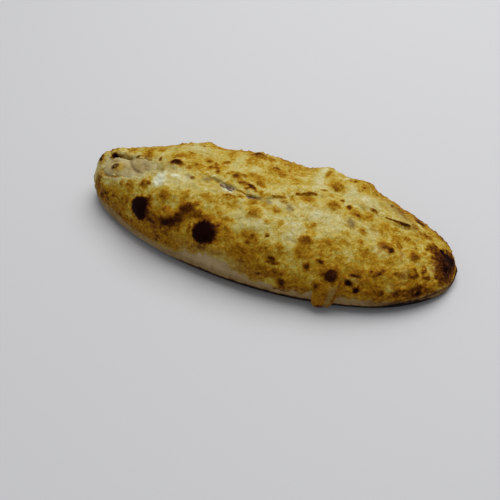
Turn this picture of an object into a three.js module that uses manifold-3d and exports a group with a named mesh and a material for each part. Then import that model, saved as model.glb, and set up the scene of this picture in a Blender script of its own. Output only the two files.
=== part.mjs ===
// Tuna pizza stick: a long folded flatbread, baked shut over a tuna filling and crusted with melted cheese.
//
// Millimetres, +Z up. X runs along the bread, Y across it: the front dough wall faces -Y, and the rear
// flap, folded over it along a lengthwise seam, faces +Y. The origin is the bottom centre of the whole.
// The bread lies on its flat underside.

import * as THREE from "three";
import { mergeVertices } from "three/addons/utils/BufferGeometryUtils.js";
import Module from "manifold-3d";

// Driving sizes of the whole bread
const LENGTH = 252;
const FRONT_HALF_WIDTH = 52.5;
const REAR_HALF_WIDTH = 49.5;
const HEIGHT = 44;
const RIM_HEIGHT = 7.5; // level of the widest line, where the side turns under
const SECTION_POWER = 2.2; // 2 is an ellipse, more is boxier
const UNDERSIDE_POWER = 2.6;
const UNDERSIDE_REACH = 1.34; // above 1, so the underside is flat out to about 3/4 of its width
const RIM_SHARE = 0.45; // the widest line is never above this share of the section
const END_LIFT = 7; // the two ends round up to their tips, this far off the table
const END_LIFT_REACH = 0.03; // over this share of the length

// How fast each profile rises from the left end and falls to the right end: small is blunt
const FRONT_TAPER = [0.642, 0.489];
const REAR_TAPER = [0.535, 0.537];
const HEIGHT_TAPER = [0.298, 0.46];

// Layers
const CHEESE_THICKNESS = 1.8;
const CHEESE_EDGE_THICKNESS = 0.9;
const GAP = 0.4; // air between touching layers
const BARE_RIM_INSET = 0.6; // the bare dough rim lies this far behind the cheese's face
const CHEESE_EDGE_HEIGHT = 13; // above the table, along the front
const REAR_EDGE_HEIGHT = 15;
const NARROW_SECTION = 32; // on narrower half sections than this the rows beside the seam close up
const LOW_SECTION = 30; // on lower sections than this the cheese's edge comes down in proportion
const LEAST_EDGE_SHARE = 0.14; // but always stays this share of the way up from the widest line
const TORN_WAVES = [
  [5.1, 1.5, 1],
  [2.9, 1.2, 2.3],
]; // waves of a torn edge: length, height, share of the phase
const FRONT_PHASE = 0.6;
const REAR_PHASE = 3.1;

// Seam: the lip of the rear flap, as places seen from above
const SEAM = [
  [-112, 6],
  [-93, -1.6],
  [-84, 1.5],
  [-62, -0.3],
  [-32, -5.5],
  [3, -12],
  [12, -8],
  [26, 1],
  [38, 4],
  [60, 6],
  [83, 6.6],
  [104, 9.5],
];
const SEAM_WAVER = 0.8; // the lip wanders this far either side of that line
const SEAM_WAVES = [4.7, 13]; // lengths of the two waves that its wandering is made of
const SEAM_START = [-122, -108]; // the seam opens between these places
const SEAM_FINISH = [98, 114]; // and closes between these
const LIP_RISE = 2;
const LIP_CURLS = [
  [-97, 14, 1.2],
  [-4, 10, 0.8],
  [30, 9, 0.8],
  [88, 11, 1.4],
]; // where the lip stands higher: place, reach, extra rise
const LIP_OVERHANG = 1.6;
const LIP_FADE = 10; // how far behind the seam the flap's raised edge dies away
const GROOVE_DEPTH = 1.6;
const GROOVE_WIDTH = 1.6;

// Filling trough under the seam, where the tuna shows
const TROUGH_START = -40;
const TROUGH_END = 27;
const TROUGH_DEPTH = 5;
const TROUGH_EASE = 7;
const FILLING_CLEARANCE = 0.6; // measured straight up, so less across the trough's steep sides

// Mesh fineness
const STATIONS = 62;
const EVEN_SHARE = 0.25; // stations: 1 is evenly spaced, 0 crowds them into the ends
const FRONT_ROWS = 11;
const REAR_ROWS = 9;
const FOOT_OFFSET = -0.9; // row at the foot of the lip, across the seam
const NOSE_OFFSET = 0.7; // row along the lip's nose
const SEAM_OFFSETS = [-7, -3.2, FOOT_OFFSET, NOSE_OFFSET, 3.6, 8];
const RIM_ROWS = 2;
const CURL_ROWS = 3;
const BASE_ROWS = 5;
const BALL_SIDES = 14;
const BALL_STEPS = 6;
const SAME_PLACE = 1e-4; // corners closer than this are one
const CHEESE_FIRST = 1; // the cheese starts and ends at these stations
const CHEESE_LAST = 61;
const END_FADE = 0.015; // share of the length over which relief and layers fade in
const CURL_ANGLE = 0.76; // turn from the widest line to where the underside is flat

// Swellings of the silhouette: place along the bread, reach, share of the local size
const HEIGHT_SWELLS = [
  [-108, 16, 0.05],
  [-62, 14, 0.049],
  [30, 18, 0.02],
  [52, 14, 0.03],
  [90, 14, -0.032],
];
const REAR_SWELLS = [
  [52, 14, 0.036],
  [90, 14, -0.041],
];
const FRONT_SWELLS = [[90, 20, 0.015]];

// Lumps and hollows of the folded dough seen from above: x, y, reach, rise
const LUMPS = [
  [-115, 8, 8, 2.6],
  [-60, 20, 15, 1.8],
  [-14, 27, 13, 1.6],
  [14, 22, 10, -1.2],
  [36, 24, 8, 2.0],
  [62, 14, 10, 2.2],
  [-48, -22, 14, 1.6],
  [-14, -22, 9, -1.2],
  [8, -30, 14, 1.8],
  [34, -20, 8, -1.2],
  [56, -22, 12, 1.4],
  [88, -22, 12, 1.2],
  [-94, -22, 9, -1.3],
  [47, 11, 5, -1.6],
  [-34, 10, 9, -1.2],
  [96, -2, 9, -1.0],
  [-40, -40, 9, -1.0],
];

// Bubbles that rose and browned under the cheese: x, y, radius, rise
const BUBBLES = [
  [-73, -31, 7, 2.4],
  [-24, -40, 8, 2.6],
  [-50, -36, 7, 1.2],
  [-58, 0, 5.5, 1.5],
  [-58, -23, 6, 1.5],
  [-74, -17, 5, 1.2],
  [-18, 2, 5, 1.5],
  [2, -23, 5.5, 1.5],
  [45, -1, 5.5, 1.5],
  [38, -31, 6, 1.5],
  [44, 17, 7, 1.5],
  [5, 16, 6, 1.3],
  [-13, 30, 7, 1.3],
  [56, -42, 6, 1.6],
  [84, -15, 5.5, 1.4],
  [117, -3, 7, 1.5],
  [117, -14, 6, 1.2],
  [100, -12, 5, 1.2],
  [100, -22, 5, 1.2],
  [66, 1, 5, 1.1],
  [82, -32, 6, 1.3],
  [70, -38, 5, 1.1],
  [-105, 8, 6, 1.4],
  [-102, -7, 5, 1.2],
  [-42, 20, 7, 1.2],
  [-84, 14, 6, 1.2],
  [20, -38, 6, 1.2],
  [-90, -30, 5, 1.2],
  [25, 32, 7, 1.2],
  [78, 26, 6, 1.2],
];
const BUBBLE_ROUNDNESS = 0.75; // 1 spreads a bubble's foot out to its full radius

// Folds pressed into the bare, pinched left end: start, end, depth
const CREASES = [
  [[-92, 0], [-78, -11], 1.6],
  [[-110, -11], [-92, -15], 1.3],
];
const CREASE_WIDTH = 3;

// Bare place on the pinched end, open in the cheese: centre, half sizes, turn seen from above
const BARE_PLACE = { x: -90, y: -7, half: [22, 7.5, 8], turn: -0.08, wobble: 1.2 };

// Gaps in the cheese along the seam, where the tuna shows: place along the bread, half length, half width
const SEAM_GAPS = [
  [-29, 6.5, 2.4],
  [-16, 4.5, 2.8],
  [-2, 5.5, 2.2],
  [9, 3.5, 2.2],
];
const GAP_OFFSET = -1.4; // centre of a gap, across the seam
const GAP_HALF_DEPTH = 4.5;
const WOBBLE = 0.17; // share by which the outline of a gap wanders in and out
const MOUND_CLEARANCE = 0.7; // a mound of filling is this much smaller all round than its gap
const MOUND_RISE = 2.3; // half height of a mound
const MOUND_SUNK = 2.8; // depth of its middle under the cheese's face

// Cheese that ran down the front and set, hanging over the rim clear of the table: a tongue and a strand
const TONGUE = {
  path: [[52, 22, -0.6], [52.5, 17, 0.4], [53, 12, 1.4], [53.2, 7.5, 1.9], [53.4, 3.6, 1.5]],
  halfWidth: [5.4, 3.7],
  halfThickness: 1.6,
  sides: 12,
};
const STRAND = {
  path: [[63, 26, -0.5], [62.4, 20, 0.5], [61, 14, 1.0], [58.5, 9.5, 1.5], [55, 6.5, 1.9]],
  halfWidth: [2.2, 1.3],
  halfThickness: 1.2,
  sides: 8,
};
const DRIP_BLUNTNESS = 0.3; // 1 gives pointed ends like a leaf's, 0 square ones
const DRIP_STEPS = 10;

const FRONT = Math.PI; // section angle of the front rim
const REAR = 0; // section angle of the rear rim
const TOP = Math.PI / 2;
const MOST_ACROSS = 0.97; // places are sought on the upper surface up to this share of its half width
const MOST_UP = 0.8; // and on the sides up to this share of their height

const wasm = await Module();
wasm.setup();

function smooth(low, high, value) {
  return THREE.MathUtils.smoothstep(value, low, high);
}

function swell(x, centre, reach) {
  return Math.exp(-(((x - centre) / reach) ** 2));
}

// A hump over 0..1 that rises as u^rise and falls as (1-u)^fall, 1 at its peak.
function hump(u, [rise, fall]) {
  const peak = rise / (rise + fall);
  const inside = THREE.MathUtils.clamp(u, 0, 1);
  return (inside ** rise * (1 - inside) ** fall) / (peak ** rise * (1 - peak) ** fall);
}

function swollen(x, swells) {
  return swells.reduce((size, [centre, reach, share]) => size * (1 + share * swell(x, centre, reach)), 1);
}

const alongX = (u) => (u - 0.5) * LENGTH;
const stationAt = (x) => x / LENGTH + 0.5;

// Sizes of the cross-section at station u.
function section(u) {
  const x = alongX(u);
  const top = Math.max(END_LIFT, HEIGHT * hump(u, HEIGHT_TAPER) * swollen(x, HEIGHT_SWELLS));
  const fromFlat = 1 - Math.min(1, Math.min(u, 1 - u) / END_LIFT_REACH);
  const base = END_LIFT * (1 - Math.sqrt(1 - fromFlat ** 2));
  return {
    x,
    front: FRONT_HALF_WIDTH * hump(u, FRONT_TAPER) * swollen(x, FRONT_SWELLS),
    rear: REAR_HALF_WIDTH * hump(u, REAR_TAPER) * swollen(x, REAR_SWELLS),
    top,
    base,
    rim: base + Math.min(RIM_HEIGHT, RIM_SHARE * (top - base)),
  };
}

// Point of the plain form at station u and an angle round the section: 0 rear rim, 90 degrees top, 180
// front rim, and on through the underside.
function formPoint(u, angle) {
  const s = section(u);
  const across = Math.cos(angle);
  const up = Math.sin(angle);
  const half = across > 0 ? s.rear : -s.front;
  const y = half * Math.abs(across) ** (2 / SECTION_POWER);
  const above = (s.top - s.rim) * up ** (2 / SECTION_POWER);
  const below = (s.base - s.rim) * Math.min(1, UNDERSIDE_REACH * (-up) ** (2 / UNDERSIDE_POWER));
  const z = s.rim + (up >= 0 ? above : below);
  return new THREE.Vector3(s.x, y, z);
}

// Outward direction of the plain form, by small steps along and round it.
const STEP_ALONG = 0.002;
const STEP_ROUND = 0.02;

function formNormal(u, angle) {
  const inner = THREE.MathUtils.clamp(u, 2 * STEP_ALONG, 1 - 2 * STEP_ALONG);
  const along = formPoint(inner + STEP_ALONG, angle).sub(formPoint(inner - STEP_ALONG, angle));
  const round = formPoint(inner, angle + STEP_ROUND).sub(formPoint(inner, angle - STEP_ROUND));
  const normal = new THREE.Vector3().crossVectors(along, round).normalize();
  const outward = new THREE.Vector3(0, Math.cos(angle), Math.sin(angle));
  return normal.dot(outward) < 0 ? normal.negate() : normal;
}

// Section angle of the upper surface at a place y across the bread.
function angleAt(u, y) {
  const s = section(u);
  const share = THREE.MathUtils.clamp(Math.abs(y) / (y > 0 ? s.rear : s.front), 0, MOST_ACROSS);
  const across = Math.sign(y) * share ** (SECTION_POWER / 2);
  return Math.acos(across);
}

// Section angle of the side at height z, measured up from the rim.
function angleUp(u, z) {
  const s = section(u);
  const share = THREE.MathUtils.clamp((z - s.rim) / (s.top - s.rim), 0, MOST_UP);
  return Math.asin(share ** (SECTION_POWER / 2));
}

const onTop = (x, y) => formPoint(stationAt(x), angleAt(stationAt(x), y));

// Where the seam runs at a place along the bread.
function seamY(x) {
  const next = SEAM.findIndex(([end]) => x < end);
  const [x1, y1] = next < 0 ? SEAM[SEAM.length - 1] : SEAM[next];
  const [x0, y0] = next > 0 ? SEAM[next - 1] : [x1 - 1, y1];
  const waver = SEAM_WAVER * Math.sin(x / SEAM_WAVES[0]) * Math.sin(x / SEAM_WAVES[1] + 1);
  return THREE.MathUtils.lerp(y0, y1, smooth(x0, x1, x)) + waver;
}

const seamStrength = (x) => smooth(...SEAM_START, x) * (1 - smooth(...SEAM_FINISH, x));
const lipRise = (x) =>
  LIP_CURLS.reduce((rise, [place, reach, extra]) => rise + extra * swell(x, place, reach), LIP_RISE);
const troughShare = (x) =>
  smooth(TROUGH_START - TROUGH_EASE, TROUGH_START, x) * (1 - smooth(TROUGH_END, TROUGH_END + TROUGH_EASE, x));

// Rise of the surface beside the seam: a step up to the flap, with a groove at its foot.
function seamRise(x, offset) {
  const step = offset > 0 ? Math.exp(-offset / LIP_FADE) : -Math.exp(offset / LIP_FADE);
  const groove = swell(offset, FOOT_OFFSET, GROOVE_WIDTH);
  return seamStrength(x) * (0.5 * lipRise(x) * step - GROOVE_DEPTH * groove);
}

function lumpRise(point) {
  return LUMPS.reduce((rise, [x, y, reach, height]) => {
    const distance = Math.hypot(point.x - x, point.y - y);
    return rise + height * swell(distance, 0, reach);
  }, 0);
}

const bubblePlaces = BUBBLES.map(([x, y, radius, height]) => ({ centre: onTop(x, y), radius, height }));

function bubbleRise(point) {
  return bubblePlaces.reduce((rise, { centre, radius, height }) => {
    const distance = point.distanceTo(centre);
    return rise + height * swell(distance, 0, BUBBLE_ROUNDNESS * radius);
  }, 0);
}

const creaseLines = CREASES.map(([start, end, depth]) => ({
  line: new THREE.Line3(onTop(...start), onTop(...end)),
  depth,
}));

function creaseDrop(point) {
  const nearest = new THREE.Vector3();
  return creaseLines.reduce((drop, crease) => {
    crease.line.closestPointToPoint(point, true, nearest);
    return drop + crease.depth * swell(point.distanceTo(nearest), 0, CREASE_WIDTH);
  }, 0);
}

// Relief and layers fade out into the two ends.
const endFade = (u) => smooth(-END_FADE / 3, END_FADE, Math.min(u, 1 - u));

// Wander of a torn edge, in millimetres.
function ragged(x, phase) {
  return TORN_WAVES.reduce((sum, [length, height, share]) => {
    return sum + height * Math.sin(x / length + share * phase);
  }, 0);
}

// Section angles where the cheese ends, low on the front and on the rear.
function cheeseEdges(u) {
  const s = section(u);
  const low = Math.min(1, s.top / LOW_SECTION);
  const least = THREE.MathUtils.lerp(s.rim, s.top, LEAST_EDGE_SHARE);
  const rise = (height, phase) => angleUp(u, Math.max(least, low * (height + ragged(s.x, phase))));
  return {
    front: FRONT - rise(CHEESE_EDGE_HEIGHT, FRONT_PHASE),
    rear: REAR + rise(REAR_EDGE_HEIGHT, REAR_PHASE),
  };
}

// The rows that cheese and dough share at station u, from the front edge over the seam to the rear edge:
// each has its section angle and, beside the seam, its offset from it.
function coveredRows(u) {
  const edges = cheeseEdges(u);
  const s = section(u);
  const spread = Math.min(1, s.rear / NARROW_SECTION);
  const seam = spread * seamY(s.x);
  const beside = SEAM_OFFSETS.map((offset) => ({ offset, angle: angleAt(u, seam + offset * spread) }));
  const first = beside[0];
  const last = beside[beside.length - 1];
  const rows = [];
  for (let k = 0; k < FRONT_ROWS; k += 1) {
    const angle = THREE.MathUtils.lerp(edges.front, first.angle, k / FRONT_ROWS);
    rows.push({ angle, offset: formPoint(u, angle).y - seam });
  }
  rows.push(...beside);
  for (let k = 1; k <= REAR_ROWS; k += 1) {
    const angle = THREE.MathUtils.lerp(last.angle, edges.rear, k / REAR_ROWS);
    rows.push({ angle, offset: formPoint(u, angle).y - seam });
  }
  return rows;
}

const COVERED = FRONT_ROWS + SEAM_OFFSETS.length + REAR_ROWS; // number of shared rows
const NOSE_ROW = FRONT_ROWS + SEAM_OFFSETS.indexOf(NOSE_OFFSET);
const FOOT_ROW = FRONT_ROWS + SEAM_OFFSETS.indexOf(FOOT_OFFSET);
const EDGE_ROWS = 3; // the cheese reaches its full thickness this many rows in

// The outer face over a shared row, and the direction in which its layers are stacked.
function coveredFace(u, row) {
  const base = formPoint(u, row.angle);
  const normal = formNormal(u, row.angle);
  const rise = endFade(u) * (seamRise(base.x, row.offset) + lumpRise(base) + bubbleRise(base));
  return { base, normal, rise };
}

// Cheese is thinner towards its torn edges.
function cheeseThickness(k) {
  const fromEdge = Math.min(k, COVERED - 1 - k);
  return THREE.MathUtils.lerp(CHEESE_EDGE_THICKNESS, CHEESE_THICKNESS, smooth(0, EDGE_ROWS, fromEdge));
}

// Puts a closed body's shared corners together and turns its faces out.
function closedBody(geometry) {
  geometry.deleteAttribute("normal");
  geometry.deleteAttribute("uv");
  geometry.clearGroups();
  const merged = mergeVertices(geometry, SAME_PLACE);
  const place = merged.attributes.position;
  const index = merged.index.array;
  const [a, b, c] = [new THREE.Vector3(), new THREE.Vector3(), new THREE.Vector3()];
  let volume = 0;
  const kept = [];
  for (let k = 0; k < index.length; k += 3) {
    const corners = [index[k], index[k + 1], index[k + 2]];
    if (new Set(corners).size < 3) continue;
    a.fromBufferAttribute(place, corners[0]);
    b.fromBufferAttribute(place, corners[1]);
    c.fromBufferAttribute(place, corners[2]);
    volume += a.dot(b.cross(c)) / 6;
    kept.push(corners);
  }
  const facing = volume < 0 ? kept.map(([p, q, r]) => [p, r, q]) : kept;
  merged.setIndex(facing.flat());
  return merged;
}

function toManifold(geometry) {
  return new wasm.Manifold(
    new wasm.Mesh({
      numProp: 3,
      vertProperties: new Float32Array(geometry.attributes.position.array),
      triVerts: new Uint32Array(geometry.index.array),
    }),
  );
}

// The largest of a solid's separate bodies, as a geometry: loose scraps from a cut are dropped.
function toGeometry(solid) {
  const bodies = solid.decompose();
  const largest = bodies.reduce((best, body) => (body.volume() > best.volume() ? body : best));
  const mesh = largest.getMesh();
  const geometry = new THREE.BufferGeometry();
  geometry.setAttribute("position", new THREE.BufferAttribute(new Float32Array(mesh.vertProperties), 3));
  geometry.setIndex(new THREE.BufferAttribute(new Uint32Array(mesh.triVerts), 1));
  return geometry;
}

// Stations lie closer together towards the two ends.
const stationShare = (share) => THREE.MathUtils.lerp((1 - Math.cos(Math.PI * share)) / 2, share, EVEN_SHARE);

const RING = COVERED + 2 * RIM_ROWS + 2 * CURL_ROWS + BASE_ROWS - 1; // number of rows round the dough

// The rows all the way round the dough at station u: the shared ones, then the bare rim, the curl under
// it and the flat base, and back up the rear. Each gives the dough's point.
function doughRing(u, troughDepth, growth) {
  const ends = endFade(u);
  const rows = coveredRows(u);
  const edges = cheeseEdges(u);
  const points = rows.map((row, k) => {
    const { base, normal, rise } = coveredFace(u, row);
    const beside = k === NOSE_ROW || k === FOOT_ROW;
    const trough = beside ? troughDepth * troughShare(base.x) : 0;
    const inset = cheeseThickness(k) + GAP + trough + creaseDrop(base) - growth;
    return base.addScaledVector(normal, rise - ends * inset);
  });
  const bare = (angle, share) => {
    const base = formPoint(u, angle);
    return base.addScaledVector(formNormal(u, angle), -ends * share * BARE_RIM_INSET);
  };
  const run = (from, to, count, share) => {
    for (let k = 1; k <= count; k += 1) {
      const part = k / count;
      points.push(bare(THREE.MathUtils.lerp(from, to, part), share(part)));
    }
  };
  run(edges.rear, REAR, RIM_ROWS, () => 1);
  run(REAR, REAR - CURL_ANGLE, CURL_ROWS, (part) => 1 - part);
  run(REAR - CURL_ANGLE, FRONT + CURL_ANGLE - 2 * Math.PI, BASE_ROWS, () => 0);
  run(FRONT + CURL_ANGLE, FRONT, CURL_ROWS, (part) => part);
  run(FRONT, edges.front, RIM_ROWS, () => 1);
  return points.slice(0, RING);
}

// Dough: a sphere's grid drawn out to the form, poles at the bread's two ends. The trough for the filling
// has the given depth, and growth moves the covered surface out.
function doughGeometry(troughDepth, growth) {
  const sphere = new THREE.SphereGeometry(1, RING, STATIONS);
  const rings = Array.from({ length: STATIONS + 1 }, (_, k) =>
    doughRing(stationShare(k / STATIONS), troughDepth, growth),
  );
  const { position, uv } = sphere.attributes;
  for (let k = 0; k < position.count; k += 1) {
    const station = Math.round((1 - uv.getY(k)) * STATIONS);
    const isEnd = station === 0 || station === STATIONS;
    const row = isEnd ? 0 : Math.round(uv.getX(k) * RING) % RING;
    const point = isEnd ? formPoint(station / STATIONS, TOP) : rings[station][row];
    position.setXYZ(k, point.x, point.y, point.z);
  }
  return closedBody(sphere);
}

// Cheese: a slab wrapped over the dough, torn along its lower edges. Its corners lie over the dough's own.
function cheeseGeometry() {
  const stretches = CHEESE_LAST - CHEESE_FIRST;
  const slab = new THREE.BoxGeometry(1, 1, 1, stretches, 1, COVERED - 1);
  const { position } = slab.attributes;
  for (let k = 0; k < position.count; k += 1) {
    const station = CHEESE_FIRST + Math.round((position.getX(k) + 0.5) * stretches);
    const row = Math.round((position.getZ(k) + 0.5) * (COVERED - 1));
    const u = stationShare(station / STATIONS);
    const { base, normal, rise } = coveredFace(u, coveredRows(u)[row]);
    const isInner = position.getY(k) < 0;
    const point = base.addScaledVector(normal, rise - (isInner ? endFade(u) * cheeseThickness(row) : 0));
    if (!isInner && row === NOSE_ROW) point.y -= LIP_OVERHANG * seamStrength(point.x);
    position.setXYZ(k, point.x, point.y, point.z);
  }
  return closedBody(slab);
}

// A stretched ball lying in the cheese's face, turned seen from above, or sunk below that face.
function surfaceBall({ x, y, half, turn, wobble, sunk = 0 }) {
  const ball = new THREE.SphereGeometry(1, BALL_SIDES, BALL_STEPS);
  const { position } = ball.attributes;
  for (let k = 0; k < position.count; k += 1) {
    const round = Math.atan2(position.getY(k), position.getX(k));
    const size = 1 + WOBBLE * Math.sin(3 * round + wobble) + WOBBLE * Math.sin(2 * round + 2 * wobble);
    position.setXY(k, size * position.getX(k), size * position.getY(k));
  }
  ball.scale(...half);
  ball.rotateZ(turn);
  const u = stationAt(x);
  const { base, normal, rise } = coveredFace(u, { angle: angleAt(u, y), offset: y - seamY(x) });
  const centre = base.addScaledVector(normal, rise - sunk);
  ball.translate(centre.x, centre.y, centre.z);
  return closedBody(ball);
}

// Where a seam gap lies and how it is turned with the seam.
function seamGapPlace([x, halfLength, halfWidth]) {
  const turn = Math.atan2(seamY(x + halfLength) - seamY(x - halfLength), 2 * halfLength);
  return { x, y: seamY(x) + GAP_OFFSET, turn, wobble: x, half: [halfLength, halfWidth, GAP_HALF_DEPTH] };
}

// A run of set cheese: a flat oval drawn down the front of the bread. Each place of its path is x, height
// above the table, and how far it stands off the form. Its half width goes from one value to the other.
function dripGeometry({ path, halfWidth, halfThickness, sides }) {
  const centres = path.map(([x, z, off]) => {
    const u = stationAt(x);
    const angle = z > section(u).rim ? FRONT - angleUp(u, z) : FRONT;
    const outer = formPoint(u, angle).addScaledVector(formNormal(u, angle), off);
    return new THREE.Vector3(x, outer.y, z);
  });
  const curve = new THREE.CatmullRomCurve3(centres);
  const drip = new THREE.SphereGeometry(1, sides, DRIP_STEPS);
  const { position } = drip.attributes;
  for (let k = 0; k < position.count; k += 1) {
    const level = position.getY(k);
    const run = THREE.MathUtils.clamp((1 - level) / 2, 0, 1);
    const centre = curve.getPointAt(run);
    const ring = Math.sqrt(Math.max(0, 1 - level ** 2));
    const isEnd = ring < 1e-6;
    const blunt = isEnd ? 0 : ring ** (DRIP_BLUNTNESS - 1);
    const wide = THREE.MathUtils.lerp(...halfWidth, run) * blunt * position.getX(k);
    position.setXYZ(k, centre.x + wide, centre.y + halfThickness * blunt * position.getZ(k), centre.z);
  }
  return closedBody(drip);
}

const dough = toManifold(doughGeometry(TROUGH_DEPTH, 0));
const tongue = toManifold(dripGeometry(TONGUE));
const strand = toManifold(dripGeometry(STRAND));
const bareCut = toManifold(surfaceBall(BARE_PLACE));
const gapCuts = SEAM_GAPS.map((gap) => toManifold(surfaceBall(seamGapPlace(gap))));
const cheeseSlab = toManifold(cheeseGeometry());
const parted = gapCuts.reduce((solid, cut) => solid.subtract(cut), cheeseSlab.subtract(bareCut));
const cheese = parted.add(tongue).add(strand);
const mounds = SEAM_GAPS.map((gap) => {
  const place = seamGapPlace(gap);
  const [halfLength, halfWidth] = place.half;
  const half = [halfLength - MOUND_CLEARANCE, halfWidth - MOUND_CLEARANCE, MOUND_RISE];
  return toManifold(surfaceBall({ ...place, half, sunk: MOUND_SUNK }));
});

// Tuna filling: what fills the trough up to just under the cheese, with mounds up into the gaps.
const troughSides = toManifold(doughGeometry(TROUGH_DEPTH, FILLING_CLEARANCE));
const levelled = mounds.reduce((solid, mound) => solid.add(mound), toManifold(doughGeometry(0, 0)));
const filling = levelled.subtract(troughSides);

function piece(name, solid, colour, roughness) {
  const material = new THREE.MeshStandardMaterial({ color: colour, roughness, metalness: 0 });
  material.flatShading = true;
  const mesh = new THREE.Mesh(toGeometry(solid), material);
  mesh.name = name;
  return mesh;
}

const pizzaStick = new THREE.Group();
pizzaStick.add(piece("dough", dough, 0xb49a70, 0.85));
pizzaStick.add(piece("cheese", cheese, 0xd0a850, 0.5));
pizzaStick.add(piece("tuna_filling", filling, 0xa89a8c, 0.6));

// The origin goes to the bottom centre of the whole.
const extent = new THREE.Box3().setFromObject(pizzaStick);
const middle = extent.getCenter(new THREE.Vector3());
pizzaStick.children.forEach((mesh) => mesh.geometry.translate(-middle.x, -middle.y, -extent.min.z));

export default pizzaStick;
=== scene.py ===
import logging
import math
import random
from dataclasses import dataclass
from enum import Enum
from typing import Sequence

import bmesh
import bpy
import numpy as np
from mathutils import Matrix, Vector, noise
from numpy.typing import NDArray


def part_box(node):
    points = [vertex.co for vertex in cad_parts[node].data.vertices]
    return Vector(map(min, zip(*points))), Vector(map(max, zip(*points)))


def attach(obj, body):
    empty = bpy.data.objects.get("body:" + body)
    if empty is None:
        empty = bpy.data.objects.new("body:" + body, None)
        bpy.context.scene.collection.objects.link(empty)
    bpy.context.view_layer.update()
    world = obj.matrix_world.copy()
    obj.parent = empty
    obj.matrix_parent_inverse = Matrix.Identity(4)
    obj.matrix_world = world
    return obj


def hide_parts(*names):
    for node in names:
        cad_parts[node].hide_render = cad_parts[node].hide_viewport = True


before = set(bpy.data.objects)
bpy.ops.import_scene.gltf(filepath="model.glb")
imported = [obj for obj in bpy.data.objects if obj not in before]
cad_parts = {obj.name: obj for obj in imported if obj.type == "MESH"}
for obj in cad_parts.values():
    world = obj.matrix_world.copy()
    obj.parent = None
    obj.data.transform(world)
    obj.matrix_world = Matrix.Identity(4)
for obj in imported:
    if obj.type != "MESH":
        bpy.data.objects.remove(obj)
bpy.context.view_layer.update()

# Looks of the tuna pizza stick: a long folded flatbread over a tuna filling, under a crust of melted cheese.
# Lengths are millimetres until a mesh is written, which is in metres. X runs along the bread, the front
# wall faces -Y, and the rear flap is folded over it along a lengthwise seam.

Array = NDArray[np.float64]
Pair = tuple[float, float]
Triple = tuple[float, float, float]
Quad = tuple[float, float, float, float]
Colour = Triple
Stops = tuple[tuple[float, Colour], ...]
log = logging.getLogger("pizza_stick")

MM = 0.001


def smooth(low: float | Array, high: float | Array, value: float | Array) -> Array:
    """Smooth step.

    Args:
        low: Where it is 0.
        high: Where it is 1; it may be the smaller of the two.
        value: Places to take it at.

    Returns:
        The step at each place.
    """
    share = np.clip((np.asarray(value, dtype=float) - low) / (high - low), 0.0, 1.0)
    return share * share * (3.0 - 2.0 * share)


def swell(value: float | Array, centre: float = 0.0, reach: float = 1.0) -> Array:
    """Bell curve of height 1 round a centre."""
    return np.exp(-(((np.asarray(value, dtype=float) - centre) / reach) ** 2))


def mixed(first: float | Array, second: float | Array, share: float | Array) -> Array:
    """Goes from the first value to the second as the share goes from 0 to 1."""
    return np.asarray(first + (np.asarray(second) - first) * share, dtype=float)


def table(value: Array, pairs: tuple[Pair, ...]) -> Array:
    """Reads a table of places and values at each place, straight between its rows."""
    return np.interp(value, *np.array(pairs, dtype=float).T)


@dataclass(frozen=True)
class Ease:
    """A smooth step from 0 at its first place to a height at its second."""

    low: float
    high: float
    height: float = 1.0

    def at(self, value: float | Array) -> Array:
        """The step at each value."""
        return self.height * smooth(self.low, self.high, value)


def within(value: Array, *eases: Ease) -> Array:
    """Product of several steps of one value."""
    return np.prod([ease.at(value) for ease in eases], axis=0)


def line_distance(points: Array, line: Array) -> Array:
    """Distance from a line.

    Args:
        points: Places, one a row.
        line: Places along the line in order.

    Returns:
        Distance of each point from it.
    """
    nearest = np.full(len(points), np.inf)
    for start, end in zip(line[:-1], line[1:]):
        span = end - start
        share = np.clip((points - start) @ span / (span @ span), 0, 1)
        nearest = np.minimum(nearest, np.linalg.norm(points - start - share[:, None] * span, axis=1))
    return nearest


def linked(name: str, data: bpy.types.ID) -> bpy.types.Object:
    """New object in the scene.

    Args:
        name: Its name.
        data: Its mesh, light or camera.

    Returns:
        The object, at the origin.
    """
    made = bpy.data.objects.new(name, data)
    bpy.context.scene.collection.objects.link(made)
    return made


@dataclass(frozen=True)
class Cloud:
    """A layer of soft noise: weight, width of its largest blots, seed, number of finer layers, and stretch."""

    weight: float
    size: float
    seed: int
    depth: int = 3
    stretch: Triple = (1, 1, 1)

    def at(self, points: Array) -> Array:
        """Works out the layer, which is the same each run.

        Args:
            points: Places on the bread.

        Returns:
            Its value at each point.
        """
        start = np.array([17.3, 9.1, 5.7]) * self.seed
        places = points / (self.size * np.array(self.stretch, dtype=float)) + start
        values = [noise.fractal(Vector(p), 0.9, 2.1, self.depth, noise_basis="PERLIN_NEW") for p in places]
        return self.weight * np.array(values)


@dataclass(frozen=True)
class Dots:
    """Scattered dots: their spacing and seed."""

    spacing: float
    seed: int

    def away(self, points: Array) -> Array:
        """Distance to the nearest dot, in shares of the spacing."""
        places = points / self.spacing + np.array([3.1, 7.7, 1.9]) * self.seed
        return np.array([noise.voronoi(Vector(p))[0][0] for p in places])


def summed(points: Array, *layers: Cloud) -> Array:
    """Sum of layers of noise at each point."""
    return sum(layer.at(points) for layer in layers)


# ---- The bread's form: the driving sizes of its solids, but the seam's left end lies further back ----


@dataclass(frozen=True)
class Section:
    """Sizes of the cross-section at each station."""

    x: Array
    front: Array
    rear: Array
    top: Array
    base: Array
    rim: Array


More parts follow.
